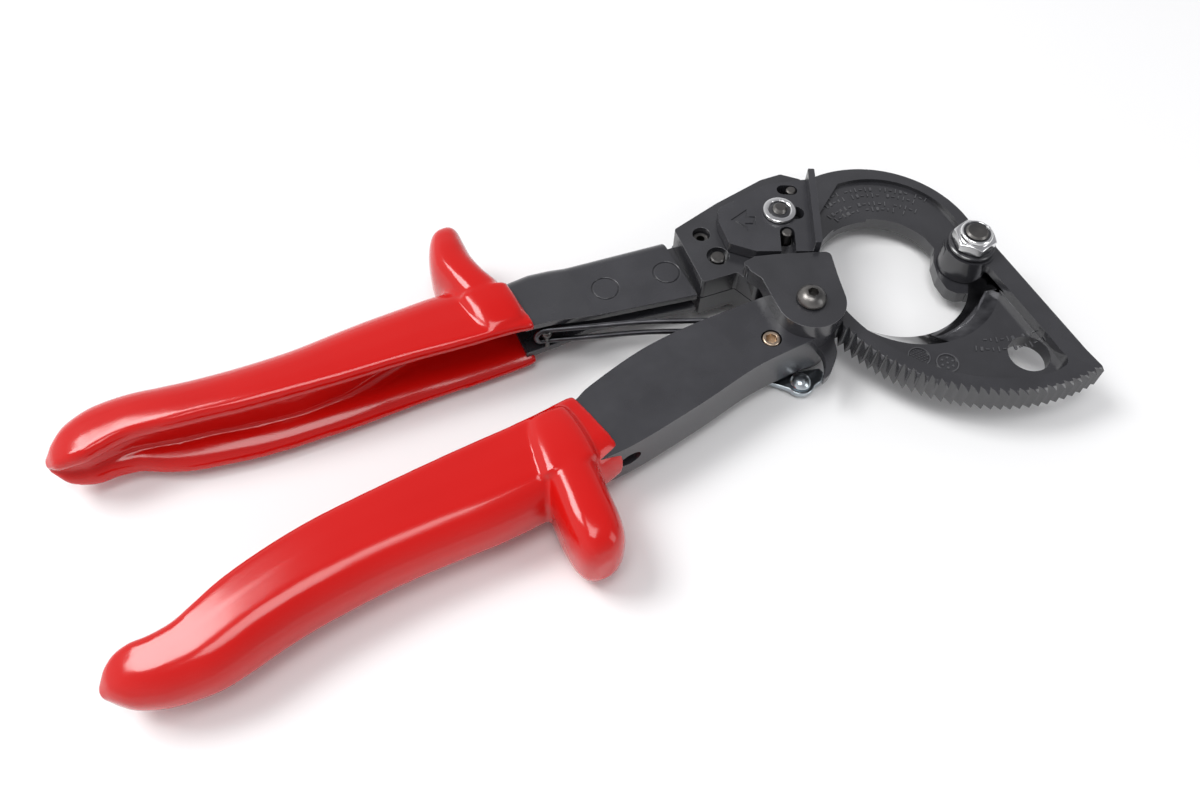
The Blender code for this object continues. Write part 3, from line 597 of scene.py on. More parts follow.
def frame_cover():
    cover = slab("frame_cover", rounded(COVER_RIGHT + BLOCK_CORNER + BLOCK_LEFT, 1.0, 4), SPLIT_HIGH,
                 BLOCK_TOP)
    ear = [(-61.7, 13.0), (-60.2, 9.5), (-60.9, 3.0)] + arc(HANDLE, 8.9, 180.0, 340.0, 48)
    ear += rounded([(-42.0, 2.4), (-39.5, 10.0), (-53.1, 15.0), (-58.2, 16.5), (-63.6, 15.7)], 1.6, 6,
                   keep=(0,))
    cover = join(cover, slab("upper_ear", ear, BLOCK_TOP - 0.4, EAR_TOP))
    pin_slots = []
    for node_name in ("pawl_pin_upper", "pawl_pin_lower"):
        x, y = middle(node_name)
        way = slot_outline((x, y), (x + 3.0 * SLIDE.x, y + 3.0 * SLIDE.y), 1.8)
        pin_slots.append(slab("pin_slot", way, 4.0, 20.0))
    blade_room = [(0.0, ROOF), (SWEEP, ROOF), (SWEEP, -2.0), (0.0, -2.0)]
    cover = cut(cover, lathe("blade_room", JAW, blade_room, 160),
                slab("pawl_pocket", on_slide_all(PAWL_ROOM), -1.0, 5.6),
                lathe("pin_recess", RING_PIN, [(0.0, 20.0), (3.0, 20.0), (3.0, 7.6), (0.0, 7.6)]),
                lathe("block_hole", BLOCK_HOLE, [(0.0, 20.0), (2.35, 20.0), (2.35, 0.0), (0.0, 0.0)]),
                *pin_slots)
    # The rounded edges carry a painted highlight.
    finish_piece(bevelled(cover, 0.36, 3, rim=PAINTED_HIGHLIGHT), CAST, "frame", "cast_black", "frame_cover")


def moving_blade():
    teeth = []
    last = 278.5
    for i in range(38, -1, -1):
        angle = last - i * TOOTH_STEP
        teeth += arc(JAW, TOOTH_ROOT, angle - TOOTH_STEP + 0.35, angle, 1)[:1]
        teeth += arc(JAW, TOOTH_TIP, angle, angle, 1)[:1]
    straight = [(6.5, -40.0), (6.5, -2.0)]
    boss_side = arc(JAW, 7.0, 10.0, 190.0, 24)
    edge = arc((-20.3, 4.7), 20.0, 309.0, 172.0, 72)
    blade = slab("moving_blade", teeth + straight + boss_side + edge, 0.0, BLADE_TOP)
    blade.data.materials.append(CAST)

    slope = [(50.0, 8.0), (45.6, 8.0), (45.6, 7.4), (48.0, 5.6), (50.0, 5.6)]
    chamfer = lathe("tooth_chamfer", JAW, slope, 240)
    outer = arc(JAW, 42.4, 184.0, 264.0, 80)
    web = rounded(outer + [(0.6, -41.4), (0.6, -8.0), (-8.0, 4.0), (-30.0, 12.0), (-46.0, 6.0)], 3.0, 6)
    web = slab("web", web, WEB_TOP, 9.0)
    for cutter in (chamfer, web):
        cutter.data.materials.append(CAST)
    blade = cut(blade, chamfer, web)

    bevel = bmesh.new()
    bmesh.ops.create_cone(bevel, cap_ends=True, segments=160, radius1=19.4 * MM, radius2=24.8 * MM,
                          depth=5.4 * MM)
    for vert in bevel.verts:
        shift = (-20.6, 5.2, 2.1 - 0.6) if vert.co.z < 0.0 else (-17.5, 1.1, 2.1)
        vert.co += Vector(shift) * MM
    bevel = collect(bevel, "cutting_bevel")
    bevel.data.materials.append(EDGE)
    blade = cut(blade, bevel)

    boss = lathe("boss", JAW, [(0.0, 7.6), (6.8, 7.6), (6.8, 0.05), (0.0, 0.05)], 96)
    boss.data.materials.append(CAST)
    blade = join(blade, boss)
    bolt_hole = lathe("bolt_hole", JAW, [(0.0, 9.0), (3.3, 9.0), (3.3, -2.0), (0.0, -2.0)])
    hang_hole = lathe("hang_hole", HANG_HOLE, [(0.0, 9.0), (5.4, 9.0), (5.4, -2.0), (0.0, -2.0)], 64)
    for cutter in (bolt_hole, hang_hole):
        cutter.data.materials.append(CAST)
    blade = cut(blade, bolt_hole, hang_hole)
    # The rounded edges carry a painted highlight.
    blade = bevelled(blade, 0.2, 2, rim=PAINTED_HIGHLIGHT)
    finish_piece(blade, None, "blade", "cast_black", "moving_blade")
    marks = plain_marks("blade_marks", JAW, [(31.6, 238.0, 270.0), (28.6, 243.0, 273.0)],
                        WEB_TOP, 0.3)
    # The raised marks and cable marks are coloured lighter as a painted highlight.
    finish_piece(shade(marks), PAINTED_HIGHLIGHT, "blade", "cast_black")
    finish_piece(shade(cable_marks(WEB_TOP)), PAINTED_HIGHLIGHT, "blade", "cast_black")


def release_lever():
    outline = rounded(on_slide_all([(16.2, 0.5), (16.1, -4.4), (13.7, -11.6), (6.6, -13.9), (-9.7, -13.1),
                                    (-9.7, 12.6), (-6.5, 12.1), (3.1, 9.6)]), 1.4, 5, keep=(4, 5))
    low = BLOCK_TOP + 0.3
    lever = slab("release_lever", outline, low, 12.7)
    tab = slab("tab", rounded(on_slide_all([(-8.0, -13.2), (-8.0, 13.0), (-9.8, 13.0), (-9.8, -13.2)]),
                              0.4, 3), low + 0.02, 16.2)
    lever = join(lever, tab)
    x, y = middle("pawl_pin_upper")
    upper = slot_outline((x, y), (x + 2.2 * SLIDE.x, y + 2.2 * SLIDE.y), 1.7)
    x, y = middle("pawl_pin_lower")
    down = Vector((-SLIDE.y, SLIDE.x)) * 14.0
    lower = slot_outline((x, y), (x + down.x, y + down.y), 1.95)
    guide = slot_outline(on_slide(-4.5, 0.0), on_slide(0.3, 0.0), 2.25)
    cutters = [slab("slot", way, 5.0, 20.0) for way in (upper, lower, guide)]
    arrow = [(13.0, -3.4), (8.6, 0.6), (8.6, -1.9), (6.4, -1.9), (6.4, -4.9), (8.6, -4.9), (8.6, -7.4)]
    inner = [(11.6, -3.4), (9.2, -1.2), (9.2, -2.6), (7.1, -2.6), (7.1, -4.2), (9.2, -4.2), (9.2, -5.6)]
    mark = cut(slab("mark", on_slide_all(arrow), 12.4, 14.0),
               slab("mark_core", on_slide_all(inner), 12.0, 15.0))
    lever = cut(lever, *cutters, mark)
    # The rounded edges carry a painted highlight.
    finish_piece(bevelled(lever, 0.26, 3, rim=PAINTED_HIGHLIGHT), SHEET, "lever", "sheet_black", "release_lever")


# ---------------------------------------------------------------- fasteners

def hex_nut(name, centre, across, bottom, top, bore, turn=0.0):
    """A hexagon nut with the corners turned off at both ends."""
    nut = slab(name, hexagon(centre, across, turn), bottom, top)
    corner = across / math.sqrt(3.0)
    flat = across * 0.485
    drop = (corner + 0.1 - flat) * 0.5
    turned = [(0.0, top + 0.01), (flat, top + 0.01), (corner + 0.1, top - drop),
              (corner + 0.1, bottom + drop), (flat, bottom - 0.01), (0.0, bottom - 0.01)]
    envelope = lathe("envelope", centre, turned, 96)
    nut = boolean(nut, [envelope], "INTERSECT")
    if bore == 0.0:
        return bevelled(nut, 0.12, 2)
    hole = lathe("bore", centre, [(0.0, top + 1.0), (bore + 0.6, top + 1.0), (bore + 0.5, top),
                                  (bore, top - 0.6), (bore, bottom - 1.0), (0.0, bottom - 1.0)], 48)
    return bevelled(cut(nut, hole), 0.12, 2)


def threaded(name, centre, radius, bottom, top, pitch, start):
    """A bolt shank whose upper end carries turned grooves like a thread."""
    profile = [(0.0, top), (radius - 0.5, top), (radius, top - 0.5)]
    level = top - 0.5
    while level > start:
        profile += [(radius, level), (radius - 0.28, level - pitch / 2)]
        level -= pitch
    profile += [(radius, level), (radius, bottom), (0.0, bottom)]
    return lathe(name, centre, profile, 48)


def fasteners():
    shank = threaded("jaw_pivot_bolt", JAW, 3.0, -6.5, 13.6, 1.0, 12.0)
    head = hex_nut("bolt_head", JAW, 10.0, -7.9, FRAME_BOTTOM - 0.3, 0.0)
    finish_piece(shade(shank), DARK, "frame", "dark_steel", "jaw_pivot_bolt")
    finish_piece(head, DARK, "frame", "dark_steel")
    washer = lathe("jaw_pivot_washer", JAW, [(3.3, 8.9), (5.9, 8.9), (6.2, 8.7), (6.2, 8.1), (6.0, 7.9),
                                             (3.3, 7.9)], 64)
    finish_piece(shade(washer), CAST, "frame", "cast_black", "jaw_pivot_washer")
    nut = hex_nut("jaw_pivot_nut", JAW, 10.0, 9.2, 12.0, 3.3, 12.0)
    rolled = [(3.6, 13.05), (3.75, 13.15), (3.95, 13.1), (4.25, 12.8), (4.4, 12.3), (4.4, 11.9), (3.6, 11.9)]
    collar = lathe("nut_collar", JAW, rolled, 64)
    insert = lathe("nut_insert", JAW, [(3.05, 12.85), (3.58, 12.85), (3.58, 12.0), (3.05, 12.0)], 48)
    finish_piece(nut, ZINC, "frame", "bright_zinc", "jaw_pivot_nut")
    finish_piece(shade(collar, 50.0), ZINC, "frame", "bright_zinc")
    finish_piece(shade(insert), CAST, "frame", "dark_steel")

    seat = EAR_TOP + 0.3
    dome = [(0.0, 16.4), (1.0, 16.38), (2.1, 16.1), (3.0, 15.5), (3.6, 14.7), (3.8, 14.1),
            (3.8, seat + 0.2), (3.6, seat), (1.7, seat), (1.7, FLOOR + 0.1), (0.0, FLOOR + 0.1)]
    button = lathe("handle_pivot_bolt", HANDLE, dome, 64)
    button = cut(button, slab("socket", hexagon(HANDLE, 2.5, 10.0), 14.5, 18.0))
    finish_piece(bevelled(button, 0.12, 2, 40.0), DARK, "frame", "dark_steel", "handle_pivot_bolt")
    thin = hex_nut("handle_pivot_nut", HANDLE, 7.0, FLOOR, -6.8, 2.0, 8.0)
    finish_piece(thin, DARK, "frame", "dark_steel", "handle_pivot_nut")

    guide = threaded("lever_guide_bolt", GUIDE, 1.85, -6.0, 14.8, 0.5, 13.6)
    finish_piece(shade(guide), DARK, "frame", "dark_steel", "lever_guide_bolt")
    guide_head = lathe("guide_bolt_head", GUIDE, [(0.0, -4.3), (3.3, -4.3), (3.5, -4.5), (3.5, -6.3),
                                                  (3.2, -6.6), (0.0, -6.6)])
    finish_piece(shade(guide_head), DARK, "frame", "dark_steel")
    ring = lathe("lever_guide_washer", GUIDE, [(3.0, 13.75), (3.2, 13.9), (3.9, 13.9), (4.3, 13.7),
                                               (4.4, 13.4), (4.3, 13.0), (2.15, 13.0), (2.15, 13.3),
                                               (3.0, 13.3)], 64)
    finish_piece(shade(ring), ZINC, "frame", "bright_zinc", "lever_guide_washer")
    cup = [(1.9, 13.75), (2.5, 13.7), (2.9, 13.5), (2.9, 13.35), (1.9, 13.35)]
    seat = lathe("guide_seat", GUIDE, cup)
    finish_piece(shade(seat), CAST, "frame", "dark_steel")

    pin = lathe("frame_pin", RING_PIN, [(0.0, 9.0), (1.6, 9.0), (1.95, 8.7), (1.95, -3.9), (0.0, -3.9)])
    finish_piece(shade(pin), DARK, "frame", "dark_steel", "frame_pin")
    sleeve = [(1.1, 7.4), (1.9, 7.5), (2.34, 7.1), (2.34, -3.4), (1.1, -3.4)]
    bush = lathe("block_bush", BLOCK_HOLE, sleeve, 40)
    finish_piece(shade(bush), DARK, "frame", "dark_steel")
    for name in ("pawl_pin_upper", "pawl_pin_lower"):
        low, high = levels(name)
        stub = lathe(name, middle(name), [(0.0, high), (1.05, high), (1.35, high - 0.3), (1.35, low),
                                          (0.0, low)], 32)
        finish_piece(shade(stub), DARK, "stop_pawl", "dark_steel", name)


def pawls_and_lock():
    """Drive pawl, its bronze screw, and the lock plate with its domed rivet."""
    tip = arc(JAW, TOOTH_TIP + 0.4, 184.6, 189.4, 6)
    back = smooth_path([(-48.3, -9.8), (-49.9, -13.4), (-54.4, -17.6), (-57.2, -18.8)], 5)
    front = smooth_path([(-57.0, -18.0), (-54.6, -15.4), (-53.2, -12.0), (-53.4, -8.8)], 5)
    hub = arc(SCREW, 3.2, 300.0, 60.0, 24)
    outline = (tip + back + front + hub
               + [(-58.0, -4.4), (-56.0, -5.4), (-52.3, -5.4), (-48.6, -4.9)])
    pawl = slab("drive_pawl", outline, 1.4, 3.9)
    pawl = cut(pawl, lathe("pawl_hole", SCREW, [(0.0, 9.0), (2.6, 9.0), (2.6, -2.0), (0.0, -2.0)]))
    finish_piece(bevelled(pawl, 0.2, 2), CAST, "feed_pawl", "dark_steel", "drive_pawl")

    low, high = levels("drive_pawl_pin")
    profile = [(0.0, high), (2.0, high), (2.3, high - 0.3), (2.3, -3.7), (1.2, -3.7), (1.2, -7.6),
               (2.0, -7.6), (2.0, low + 0.2), (1.8, low), (0.0, low)]
    screw = lathe("drive_pawl_pin", SCREW, profile, 48)
    screw = cut(screw, slab("socket", hexagon(SCREW, 2.6, 5.0), high - 2.4, high + 2.0))
    finish_piece(bevelled(screw, 0.1, 2, 40.0), BRONZE, "handle", "bronze", "drive_pawl_pin")

    outline = (arc(SCREW, 2.6, 60.0, 240.0, 24) + arc(KNOB, 3.7, 190.0, 320.0, 24)
               + [(-53.4, -14.2), (-52.6, -14.0), (-51.5, -13.1), (-50.6, -11.9), (-50.9, -10.4),
                  (-52.4, -9.9), (-58.2, -8.7), (-61.6, -5.2)])
    lock = slab("lock_plate", outline, -7.3, -5.9)
    lock = cut(lock, lathe("hub_hole", SCREW, [(0.0, 0.0), (1.5, 0.0), (1.5, -9.0), (0.0, -9.0)], 32),
               lathe("rivet_hole", KNOB, [(0.0, 0.0), (1.3, 0.0), (1.3, -9.0), (0.0, -9.0)], 32))
    finish_piece(bevelled(lock, 0.25, 3), BLUE_ZINC, "lock", "bright_zinc", "lock_plate")
    dome = [(0.0, -4.1), (0.7, -4.13), (1.4, -4.3), (2.0, -4.6), (2.5, -5.05), (2.75, -5.5), (2.65, -5.6),
            (1.0, -5.6), (1.0, -7.6), (2.0, -7.6), (2.0, -8.0), (1.8, -8.1), (0.0, -8.1)]
    knob = lathe("lock_knob", KNOB, dome)
    finish_piece(shade(knob, 50.0), BLUE_ZINC, "lock", "bright_zinc", "lock_knob")


# ---------------------------------------------------------------- handles

def skin(name, rings):
    """A closed skin over rings of points that have the same count."""
    shape = bmesh.new()
    made = [[shape.verts.new(Vector(point) * MM) for point in ring] for ring in rings]
    for one, two in zip(made, made[1:]):
        for i in range(len(one)):
            j = (i + 1) % len(one)
            shape.faces.new((one[i], one[j], two[j], two[i]))
    shape.faces.new(made[0][::-1])
    shape.faces.new(made[-1])
    return collect(shape, name)


def eased(stations, count):
    """Rows of numbers read evenly along a smooth curve through the stations."""
    rows = []
    last = len(stations) - 1
    for i in range(count + 1):
        place = last * i / count
        k = min(int(place), last - 1)
        t = place - k
        a, b, c, d = (stations[max(k - 1, 0)], stations[k], stations[k + 1], stations[min(k + 2, last)])
        row = []
        for p, q, r, s in zip(a, b, c, d):
            row.append(0.5 * (2 * q + (r - p) * t + (2 * p - 5 * q + 4 * r - s) * t * t
                              + (3 * q - p - 3 * r + s) * t ** 3))
        rows.append(row)
    return rows


def channel_ring(x, inner, outer, bottom, top, bend, thick):
    """One cut through a pressed steel channel, in the plane across the handle."""
    side = 1.0 if outer > inner else -1.0
    bend = min(bend, (top - bottom) * 0.45)
    web = outer - side * thick
    hollow = max(bend - thick, 0.3)
    steps = 6
    quarter = []
    for i in range(steps + 1):
        angle = math.radians(90.0 * i / steps)
        quarter.append((1.0 - math.sin(angle), 1.0 - math.cos(angle)))
    ring = [(inner, bottom)]
    ring += [(outer - side * bend * a, bottom + bend * b) for a, b in quarter]
    ring += [(outer - side * bend * b, top - bend * a) for a, b in quarter]
    ring += [(inner, top), (inner, top - thick)]
    ring += [(web - side * hollow * a, top - thick - hollow * b) for a, b in quarter]
    ring += [(web - side * hollow * b, bottom + thick + hollow * a) for a, b in quarter]
    ring.append((inner, bottom + thick))
    return [(x, y, z) for y, z in ring]


def fixed_handle():
    stations = [(-73.3, 17.4, 38.2, -2.5, 4.5), (-87.0, 19.8, 39.6, -2.5, 4.5),
                (-99.6, 22.0, 40.9, -2.5, 4.5), (-101.4, 22.3, 41.0, -2.6, 4.7),
                (-106.0, 22.3, 40.7, -3.2, 6.3), (-112.0, 22.5, 40.0, -3.8, 8.2),
                (-117.0, 22.6, 39.0, -4.0, 9.1), (-119.6, 22.7, 38.6, -4.0, 9.2)]
    rings = []
    for x, inner, outer, bottom, top in stations:
        rings.append(channel_ring(x, inner, outer, bottom, top, 3.0, 2.0))
    handle = skin("fixed_handle", rings)
    grooves = []
    for place in RIVETS:
        for high, low in ((12.0, 4.2), (-2.2, -6.0)):
            gap = [(3.62, high), (3.35, high), (3.35, low), (3.62, low)]
            grooves.append(lathe("rivet_gap", place, gap, 64))
    handle = cut(handle, *grooves)
    finish_piece(bevelled(handle, 0.2, 2, 40.0), SHEET, "frame", "sheet_black",
                 "fixed_handle", "tang_rivet_front", "tang_rivet_rear")
    eye = (ANCHOR[0], ANCHOR[1] - 2.4)
    knob = lathe("spring_anchor_pin", eye, [(0.0, 4.5), (0.5, 4.4), (0.6, 4.0), (0.9, 4.0), (1.0, 4.3),
                                            (1.35, 4.0), (1.45, 3.3), (1.2, 2.5), (0.7, 2.1), (0.7, -1.8),
                                            (0.0, -1.8)], 40)
    finish_piece(shade(knob, 50.0), DARK, "frame", "bright_zinc", "spring_anchor_pin")


HANDLE_LOW, HANDLE_HIGH = levels("moving_handle")
WEB_RUN = [(-126.0, -19.0), (-118.0, -18.9), (-108.0, -18.2), (-89.3, -14.8), (-74.0, -11.4),
           (-63.0, -10.3), (-51.8, -9.9)]
OPEN_RUN = [(-52.3, 6.6), (-62.8, 7.0), (-81.8, 6.7), (-96.7, 5.0), (-112.2, 0.7), (-118.0, -1.8),
            (-126.0, -2.4)]


def oval_drill(name, place, half_width, half_height, near, far):
    """An oval bar across the handle, for the hole in its web."""
    rings = []
    for y in (near, far):
        ring = []
        for i in range(24):
            angle = 2.0 * math.pi * i / 24
            ring.append((place[0] + half_width * math.cos(angle), y,
                         place[1] + half_height * math.sin(angle)))
        rings.append(ring)
    return skin(name, rings)


def moving_handle():
    outer = smooth_path(WEB_RUN, 6)
    inner = smooth_path(OPEN_RUN, 6)
    lobe = arc(HANDLE, 8.0, -62.0, 84.0, 32)
    outline = inner + outer + lobe
    shape, lower, upper = prism(outline, HANDLE_LOW, HANDLE_HIGH)
    first, last = len(inner), len(inner) + len(outer) - 1
    bends = []
    for ring in (lower, upper):
        for i in range(first, last):
            bends.append(shape.edges.get((ring[i], ring[i + 1])))
    bmesh.ops.bevel(shape, geom=bends, offset=5.0 * MM, segments=10, profile=0.5, affect="EDGES")
    handle = collect(shape, "moving_handle")
    room = inner[:1] + [(x, y + 2.0) for x, y in inner[1:-1]] + [(-127.0, -0.5)]
    room += [(-127.0, -16.9)] + [(x, y + 2.0) for x, y in outer[1:-1]] + [(-40.0, -7.9), (-40.0, 9.0)]
    pocket = slab("channel_room", room, HANDLE_LOW + 2.0, HANDLE_HIGH - 2.0)
    screw_hole = lathe("screw_hole", SCREW, [(0.0, 12.0), (2.6, 12.0), (2.6, -9.0), (0.0, -9.0)])
    pivot_hole = lathe("pivot_hole", HANDLE, [(0.0, 12.0), (3.05, 12.0), (3.05, -9.0), (0.0, -9.0)])
    web_hole = oval_drill("web_hole", (-110.6, MIDDLE), 3.0, 2.1, -24.0, -12.0)
    handle = cut(handle, pocket, screw_hole, pivot_hole, web_hole)
    finish_piece(bevelled(handle, 0.25, 2, 40.0), SHEET, "handle", "sheet_black", "moving_handle")


LEG_RUN = [(-57.2, 3.0), (-62.4, 4.2), (-75.5, 9.0), (-90.0, 15.0), (-103.3, 19.4), (-112.0, 22.3)]


def springs():
    """The handle spring: two coils round the pivot, two long legs and the bend round the anchor."""
    legs = []
    for height, sign in ((4.7, 1.0), (0.3, -1.0)):
        turns = []
        for i in range(40):
            angle = math.radians(118.0 - 360.0 * 1.6 * i / 39)
            turns.append((HANDLE[0] + 3.9 * math.cos(angle), HANDLE[1] + 3.9 * math.sin(angle),
                          height + sign * 1.17 * i / 39))
        foot = (-59.4, -4.9, turns[-1][2])
        way = smooth_path([(x, y, height) for x, y in LEG_RUN], 6)
        legs.append([foot] + turns[::-1] + way)
    end_bend = []
    for i in range(13):
        angle = math.radians(-90.0 + 15.0 * i)
        end_bend.append((-114.6 - 2.0 * math.cos(angle), 23.2, 2.5 - 2.2 * math.sin(angle)))
    spring = tube("handle_spring", legs[0] + end_bend + legs[1][::-1], 0.7, 14)
    finish_piece(shade(spring, 60.0), SPRING, "frame", "dark_steel", "handle_spring")


# ---------------------------------------------------------------- grips

def grip_ring(x, low, high, half, lip, depth, inset, slant, side):
    """One cut through a grip: a rounded box whose inner side is an open channel between two lips.
    low is the inner side and high the outer one; side is +1 when the outer side looks to +y. The upper
    lip stands back by inset, and slant shears the cut along the tool."""
    width = (high - low) * side
    corner = min(8.2, width * 0.48, half * 0.93)
    edge = min(lip * 0.46, width * 0.2)
    steps = 8
    points = []

    def bend(centre_u, centre_z, across, up, start, end, count):
        for i in range(count + 1):
            angle = math.radians(start + (end - start) * i / count)
            points.append((centre_u + across * math.cos(angle), centre_z + up * math.sin(angle)))

    bend(width - corner, half - corner, corner, corner, 0.0, 84.0, steps)
    points.append(((width - corner + inset + edge) / 2, half + 0.12))
    bend(inset + edge, half - edge, edge, edge, 96.0, 180.0, steps)
    bend(inset + edge, half - lip + edge, edge, edge, 180.0, 270.0, steps)
    back = max(depth, inset + edge + 0.3)
    hollow = max(half - lip, 0.4)
    inner = min(3.0, hollow * 0.7, max(back - inset - edge, 0.2) * 0.8)
    bend(back - inner, hollow - inner, inner, inner, 90.0, 0.0, 5)
    bend(back - inner, inner - hollow, inner, inner, 0.0, -90.0, 5)
    reach = max(back - inner, edge)
    rise = lip * 0.78
    toe = lip * 0.22
    bend(reach, lip - half - rise, reach, rise, 90.0, 180.0, steps)
    bend(toe, toe - half, toe, toe, 180.0, 264.0, steps)
    bend(width - corner, corner - half, corner, corner, -84.0, 0.0, steps)
    return [(x + slant * u, low + side * u, MIDDLE + z) for u, z in points]


def guard_rings(stations):
    """Rounded rings of a thumb guard, stacked across the tool."""
    rings = []
    for y, x, half_width, half_height, lift in stations:
        ring = []
        for i in range(40):
            angle = 2.0 * math.pi * i / 40
            c, s = math.cos(angle), math.sin(angle)
            ring.append((x + half_width * math.copysign(abs(c) ** 0.7, c), y,
                         MIDDLE + lift + half_height * math.copysign(abs(s) ** 0.7, s)))
        rings.append(ring)
    return rings


def ridges(stations):
    """The guard's foot on the upper and the lower face of the grip, clear of its channel."""
    lift = 7.8
    return [(*station, lift) for station in stations], [(*station, -lift) for station in stations]


def melted(obj, voxel, passes):
    """Fuses overlapping shapes into one smooth skin, as a dip coat does."""
    remesh = obj.modifiers.new("fuse", "REMESH")
    remesh.mode = "VOXEL"
    remesh.voxel_size = voxel * MM
    smooth = obj.modifiers.new("soften", "SMOOTH")
    smooth.factor = 0.5
    smooth.iterations = passes
    return baked(obj)


def merged(name, pieces):
    shape = bmesh.new()
    for piece in pieces:
        shape.from_mesh(piece.data)
    for piece in pieces:
        bpy.data.objects.remove(piece, do_unlink=True)
    return placed(shape, name)


def grip(name, stations, side, guards, body):
    pieces = [skin("sleeve", [grip_ring(*row, side) for row in eased(stations, 110)])]
    for guard in guards:
        pieces.append(skin("guard", guard_rings(eased(guard, 24))))
    voxel = 0.55
    obj = melted(merged(name, pieces), voxel, 5)
    obj.data.shade_smooth()
    finish_piece(obj, RED, body, "red_vinyl", name)


# Stations along a grip: x, inner side, outer side, half height, lip, channel depth, inset and slant.
FIXED_SLEEVE = [
    (-117.2, 21.3, 39.8, 7.8, 3.0, 12.5, 0.5, -0.12), (-119.0, 21.0, 40.6, 8.3, 3.2, 13.0, 0.8, -0.10),
    (-124.0, 21.1, 42.1, 8.7, 3.4, 13.0, 1.2, -0.04), (-136.0, 21.4, 43.4, 8.8, 3.6, 13.0, 1.8, 0.0),
    (-146.0, 21.8, 43.3, 8.8, 3.8, 12.0, 2.5, 0.0), (-155.0, 21.8, 43.1, 8.8, 4.0, 10.0, 3.2, 0.0),
    (-164.0, 21.7, 42.6, 8.8, 4.2, 8.0, 3.8, 0.0), (-173.0, 22.0, 42.0, 8.8, 4.4, 7.0, 4.2, 0.0),
    (-182.0, 22.4, 42.1, 8.8, 4.6, 6.6, 4.6, 0.0), (-190.0, 23.1, 42.6, 8.7, 4.8, 6.2, 4.8, 0.0),
    (-198.0, 24.4, 43.5, 8.5, 4.9, 6.0, 4.8, 0.0), (-205.0, 25.8, 44.6, 8.3, 4.8, 5.4, 4.4, 0.0),
    (-211.0, 27.9, 45.7, 8.0, 4.8, 4.2, 3.4, 0.0), (-216.0, 30.2, 46.1, 7.6, 4.8, 2.6, 1.6, 0.0),
    (-221.0, 30.8, 45.9, 7.2, 4.8, 1.0, 0.3, 0.0), (-225.0, 30.5, 44.8, 6.8, 4.6, 0.6, 0.0, 0.0),
    (-228.5, 31.0, 43.1, 6.0, 4.2, 0.5, 0.0, 0.0), (-231.4, 32.0, 40.4, 4.4, 3.4, 0.4, 0.0, 0.0),
    (-233.0, 33.6, 38.4, 2.6, 2.1, 0.3, 0.0, 0.0), (-234.2, 35.0, 37.2, 1.2, 1.0, 0.2, 0.0, 0.0)]
MOVING_SLEEVE = [
    (-117.6, -0.8, -19.6, 7.7, 3.0, 12.5, 0.0, 0.26), (-119.6, -0.9, -20.4, 8.2, 3.2, 13.0, 0.0, 0.22),
    (-124.0, -1.6, -22.5, 8.6, 3.4, 13.0, 0.0, 0.08), (-128.0, -2.1, -23.5, 8.7, 3.5, 13.0, 0.0, 0.0),
    (-136.0, -2.8, -24.4, 8.8, 3.6, 13.0, 0.0, 0.0), (-146.0, -3.3, -25.0, 8.8, 3.8, 12.5, 0.0, 0.0),
    (-155.0, -3.9, -24.9, 8.8, 4.0, 11.0, 0.0, 0.0), (-164.0, -4.6, -24.9, 8.8, 4.2, 9.5, 0.0, 0.0),
    (-173.0, -5.4, -25.2, 8.8, 4.4, 8.0, 0.0, 0.0), (-182.0, -6.4, -26.1, 8.8, 4.6, 7.0, 0.0, 0.0),
    (-190.0, -7.8, -27.1, 8.7, 4.7, 6.0, 0.0, 0.0), (-198.0, -9.7, -28.7, 8.5, 4.8, 5.0, 0.0, 0.0),
    (-205.0, -11.9, -30.5, 8.3, 4.8, 4.0, 0.0, 0.0), (-211.0, -14.5, -31.7, 8.0, 4.8, 3.0, 0.0, 0.0),
    (-216.0, -16.5, -31.7, 7.6, 4.8, 1.8, 0.0, 0.0), (-221.0, -17.1, -31.2, 7.2, 4.8, 1.0, 0.0, 0.0),
    (-225.0, -16.9, -30.1, 6.7, 4.6, 0.6, 0.0, 0.0), (-228.4, -17.6, -28.6, 5.8, 4.2, 0.5, 0.0, 0.0),
    (-230.9, -19.0, -26.6, 4.3, 3.4, 0.4, 0.0, 0.0), (-232.5, -20.6, -25.0, 2.5, 2.0, 0.3, 0.0, 0.0),
    (-233.7, -22.0, -23.8, 1.1, 1.0, 0.2, 0.0, 0.0)]

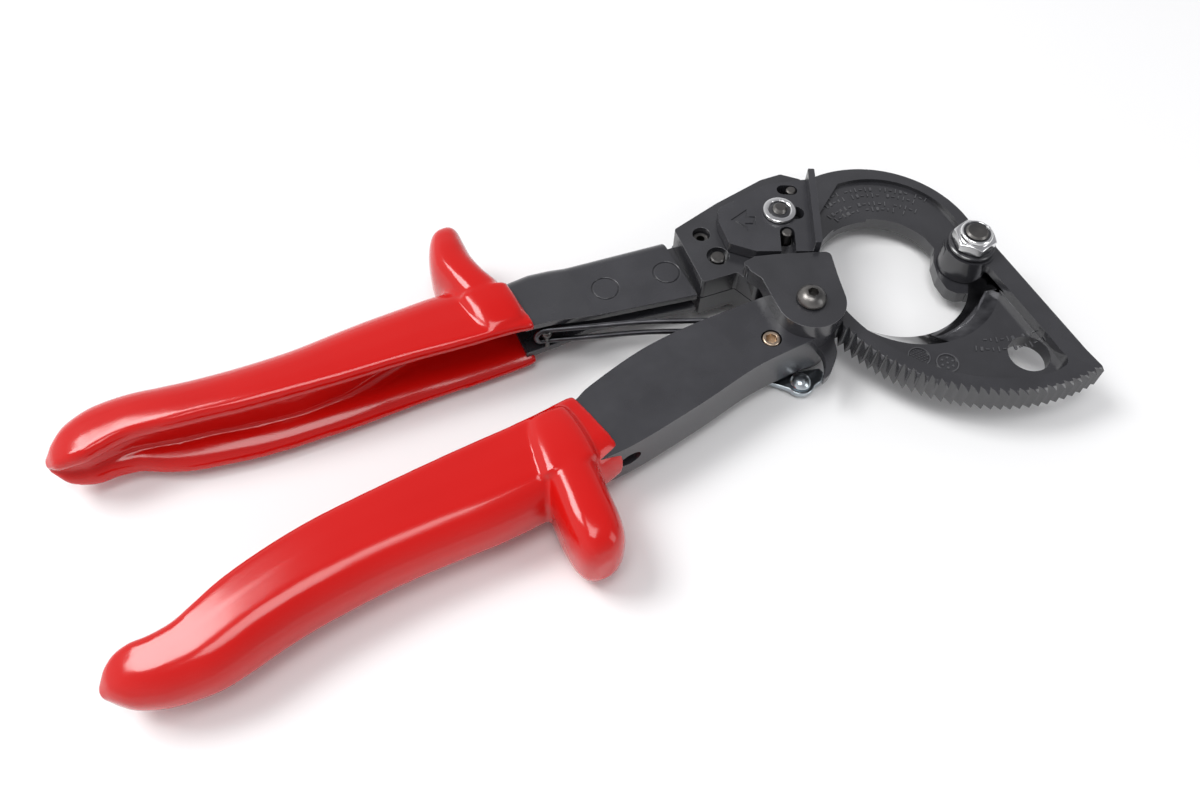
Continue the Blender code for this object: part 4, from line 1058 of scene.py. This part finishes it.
# Stations across a thumb guard: y, x, half width, half height and, for a full ring, lift.
FIXED_GUARD = [
    (34.0, -125.2, 6.5, 10.4, 0.2), (38.5, -126.2, 6.5, 10.8, 0.0), (43.0, -127.6, 6.1, 11.0, 0.0),
    (48.5, -128.7, 5.9, 11.0, 0.0), (54.0, -128.3, 5.3, 10.7, 0.0), (59.0, -127.2, 4.2, 9.4, 0.0),
    (61.9, -126.4, 2.1, 5.8, 0.0)]
FIXED_RIDGE = [
    (24.5, -124.2, 4.8, 1.6), (27.0, -124.4, 5.8, 2.2), (31.0, -124.8, 6.3, 2.8), (36.0, -125.4, 6.5, 3.0)]
MOVING_GUARD = [
    (-15.6, -126.1, 6.6, 10.8, 0.0), (-20.0, -126.4, 6.8, 11.0, 0.0), (-27.0, -126.9, 6.9, 11.0, 0.0),
    (-33.0, -127.2, 6.8, 10.6, 0.0), (-37.4, -127.4, 6.1, 9.6, 0.0), (-40.2, -127.8, 4.4, 7.6, 0.0),
    (-41.6, -128.0, 2.0, 4.2, 0.0)]
MOVING_RIDGE = [
    (-3.6, -125.4, 4.6, 2.2), (-8.0, -125.7, 5.9, 2.8), (-14.0, -126.0, 6.6, 3.1), (-19.0, -126.4, 6.8, 3.1)]


def grips():
    grip("fixed_grip", FIXED_SLEEVE, 1.0, [FIXED_GUARD, *ridges(FIXED_RIDGE)], "frame")
    grip("moving_grip", MOVING_SLEEVE, -1.0, [MOVING_GUARD, *ridges(MOVING_RIDGE)], "handle")


# ---------------------------------------------------------------- what stays from the CAD

def carried_over():
    """Small inner pieces whose CAD shape is right get their finish here."""
    for name, material in (("holding_pawl", DARK), ("pivot_sleeve", ZINC), ("holding_pawl_spring", SPRING),
                           ("drive_pawl_spring", SPRING)):
        obj = frame["nodes"][name]
        for i in range(len(obj.data.materials)):
            obj.material_slots[i].material = material


camera()
floor()
lights()
fixed_jaw()
frame_cover()
moving_blade()
release_lever()
fasteners()
pawls_and_lock()
fixed_handle()
moving_handle()
springs()
grips()
carried_over()

bpy.context.scene.view_settings.view_transform = "Standard"
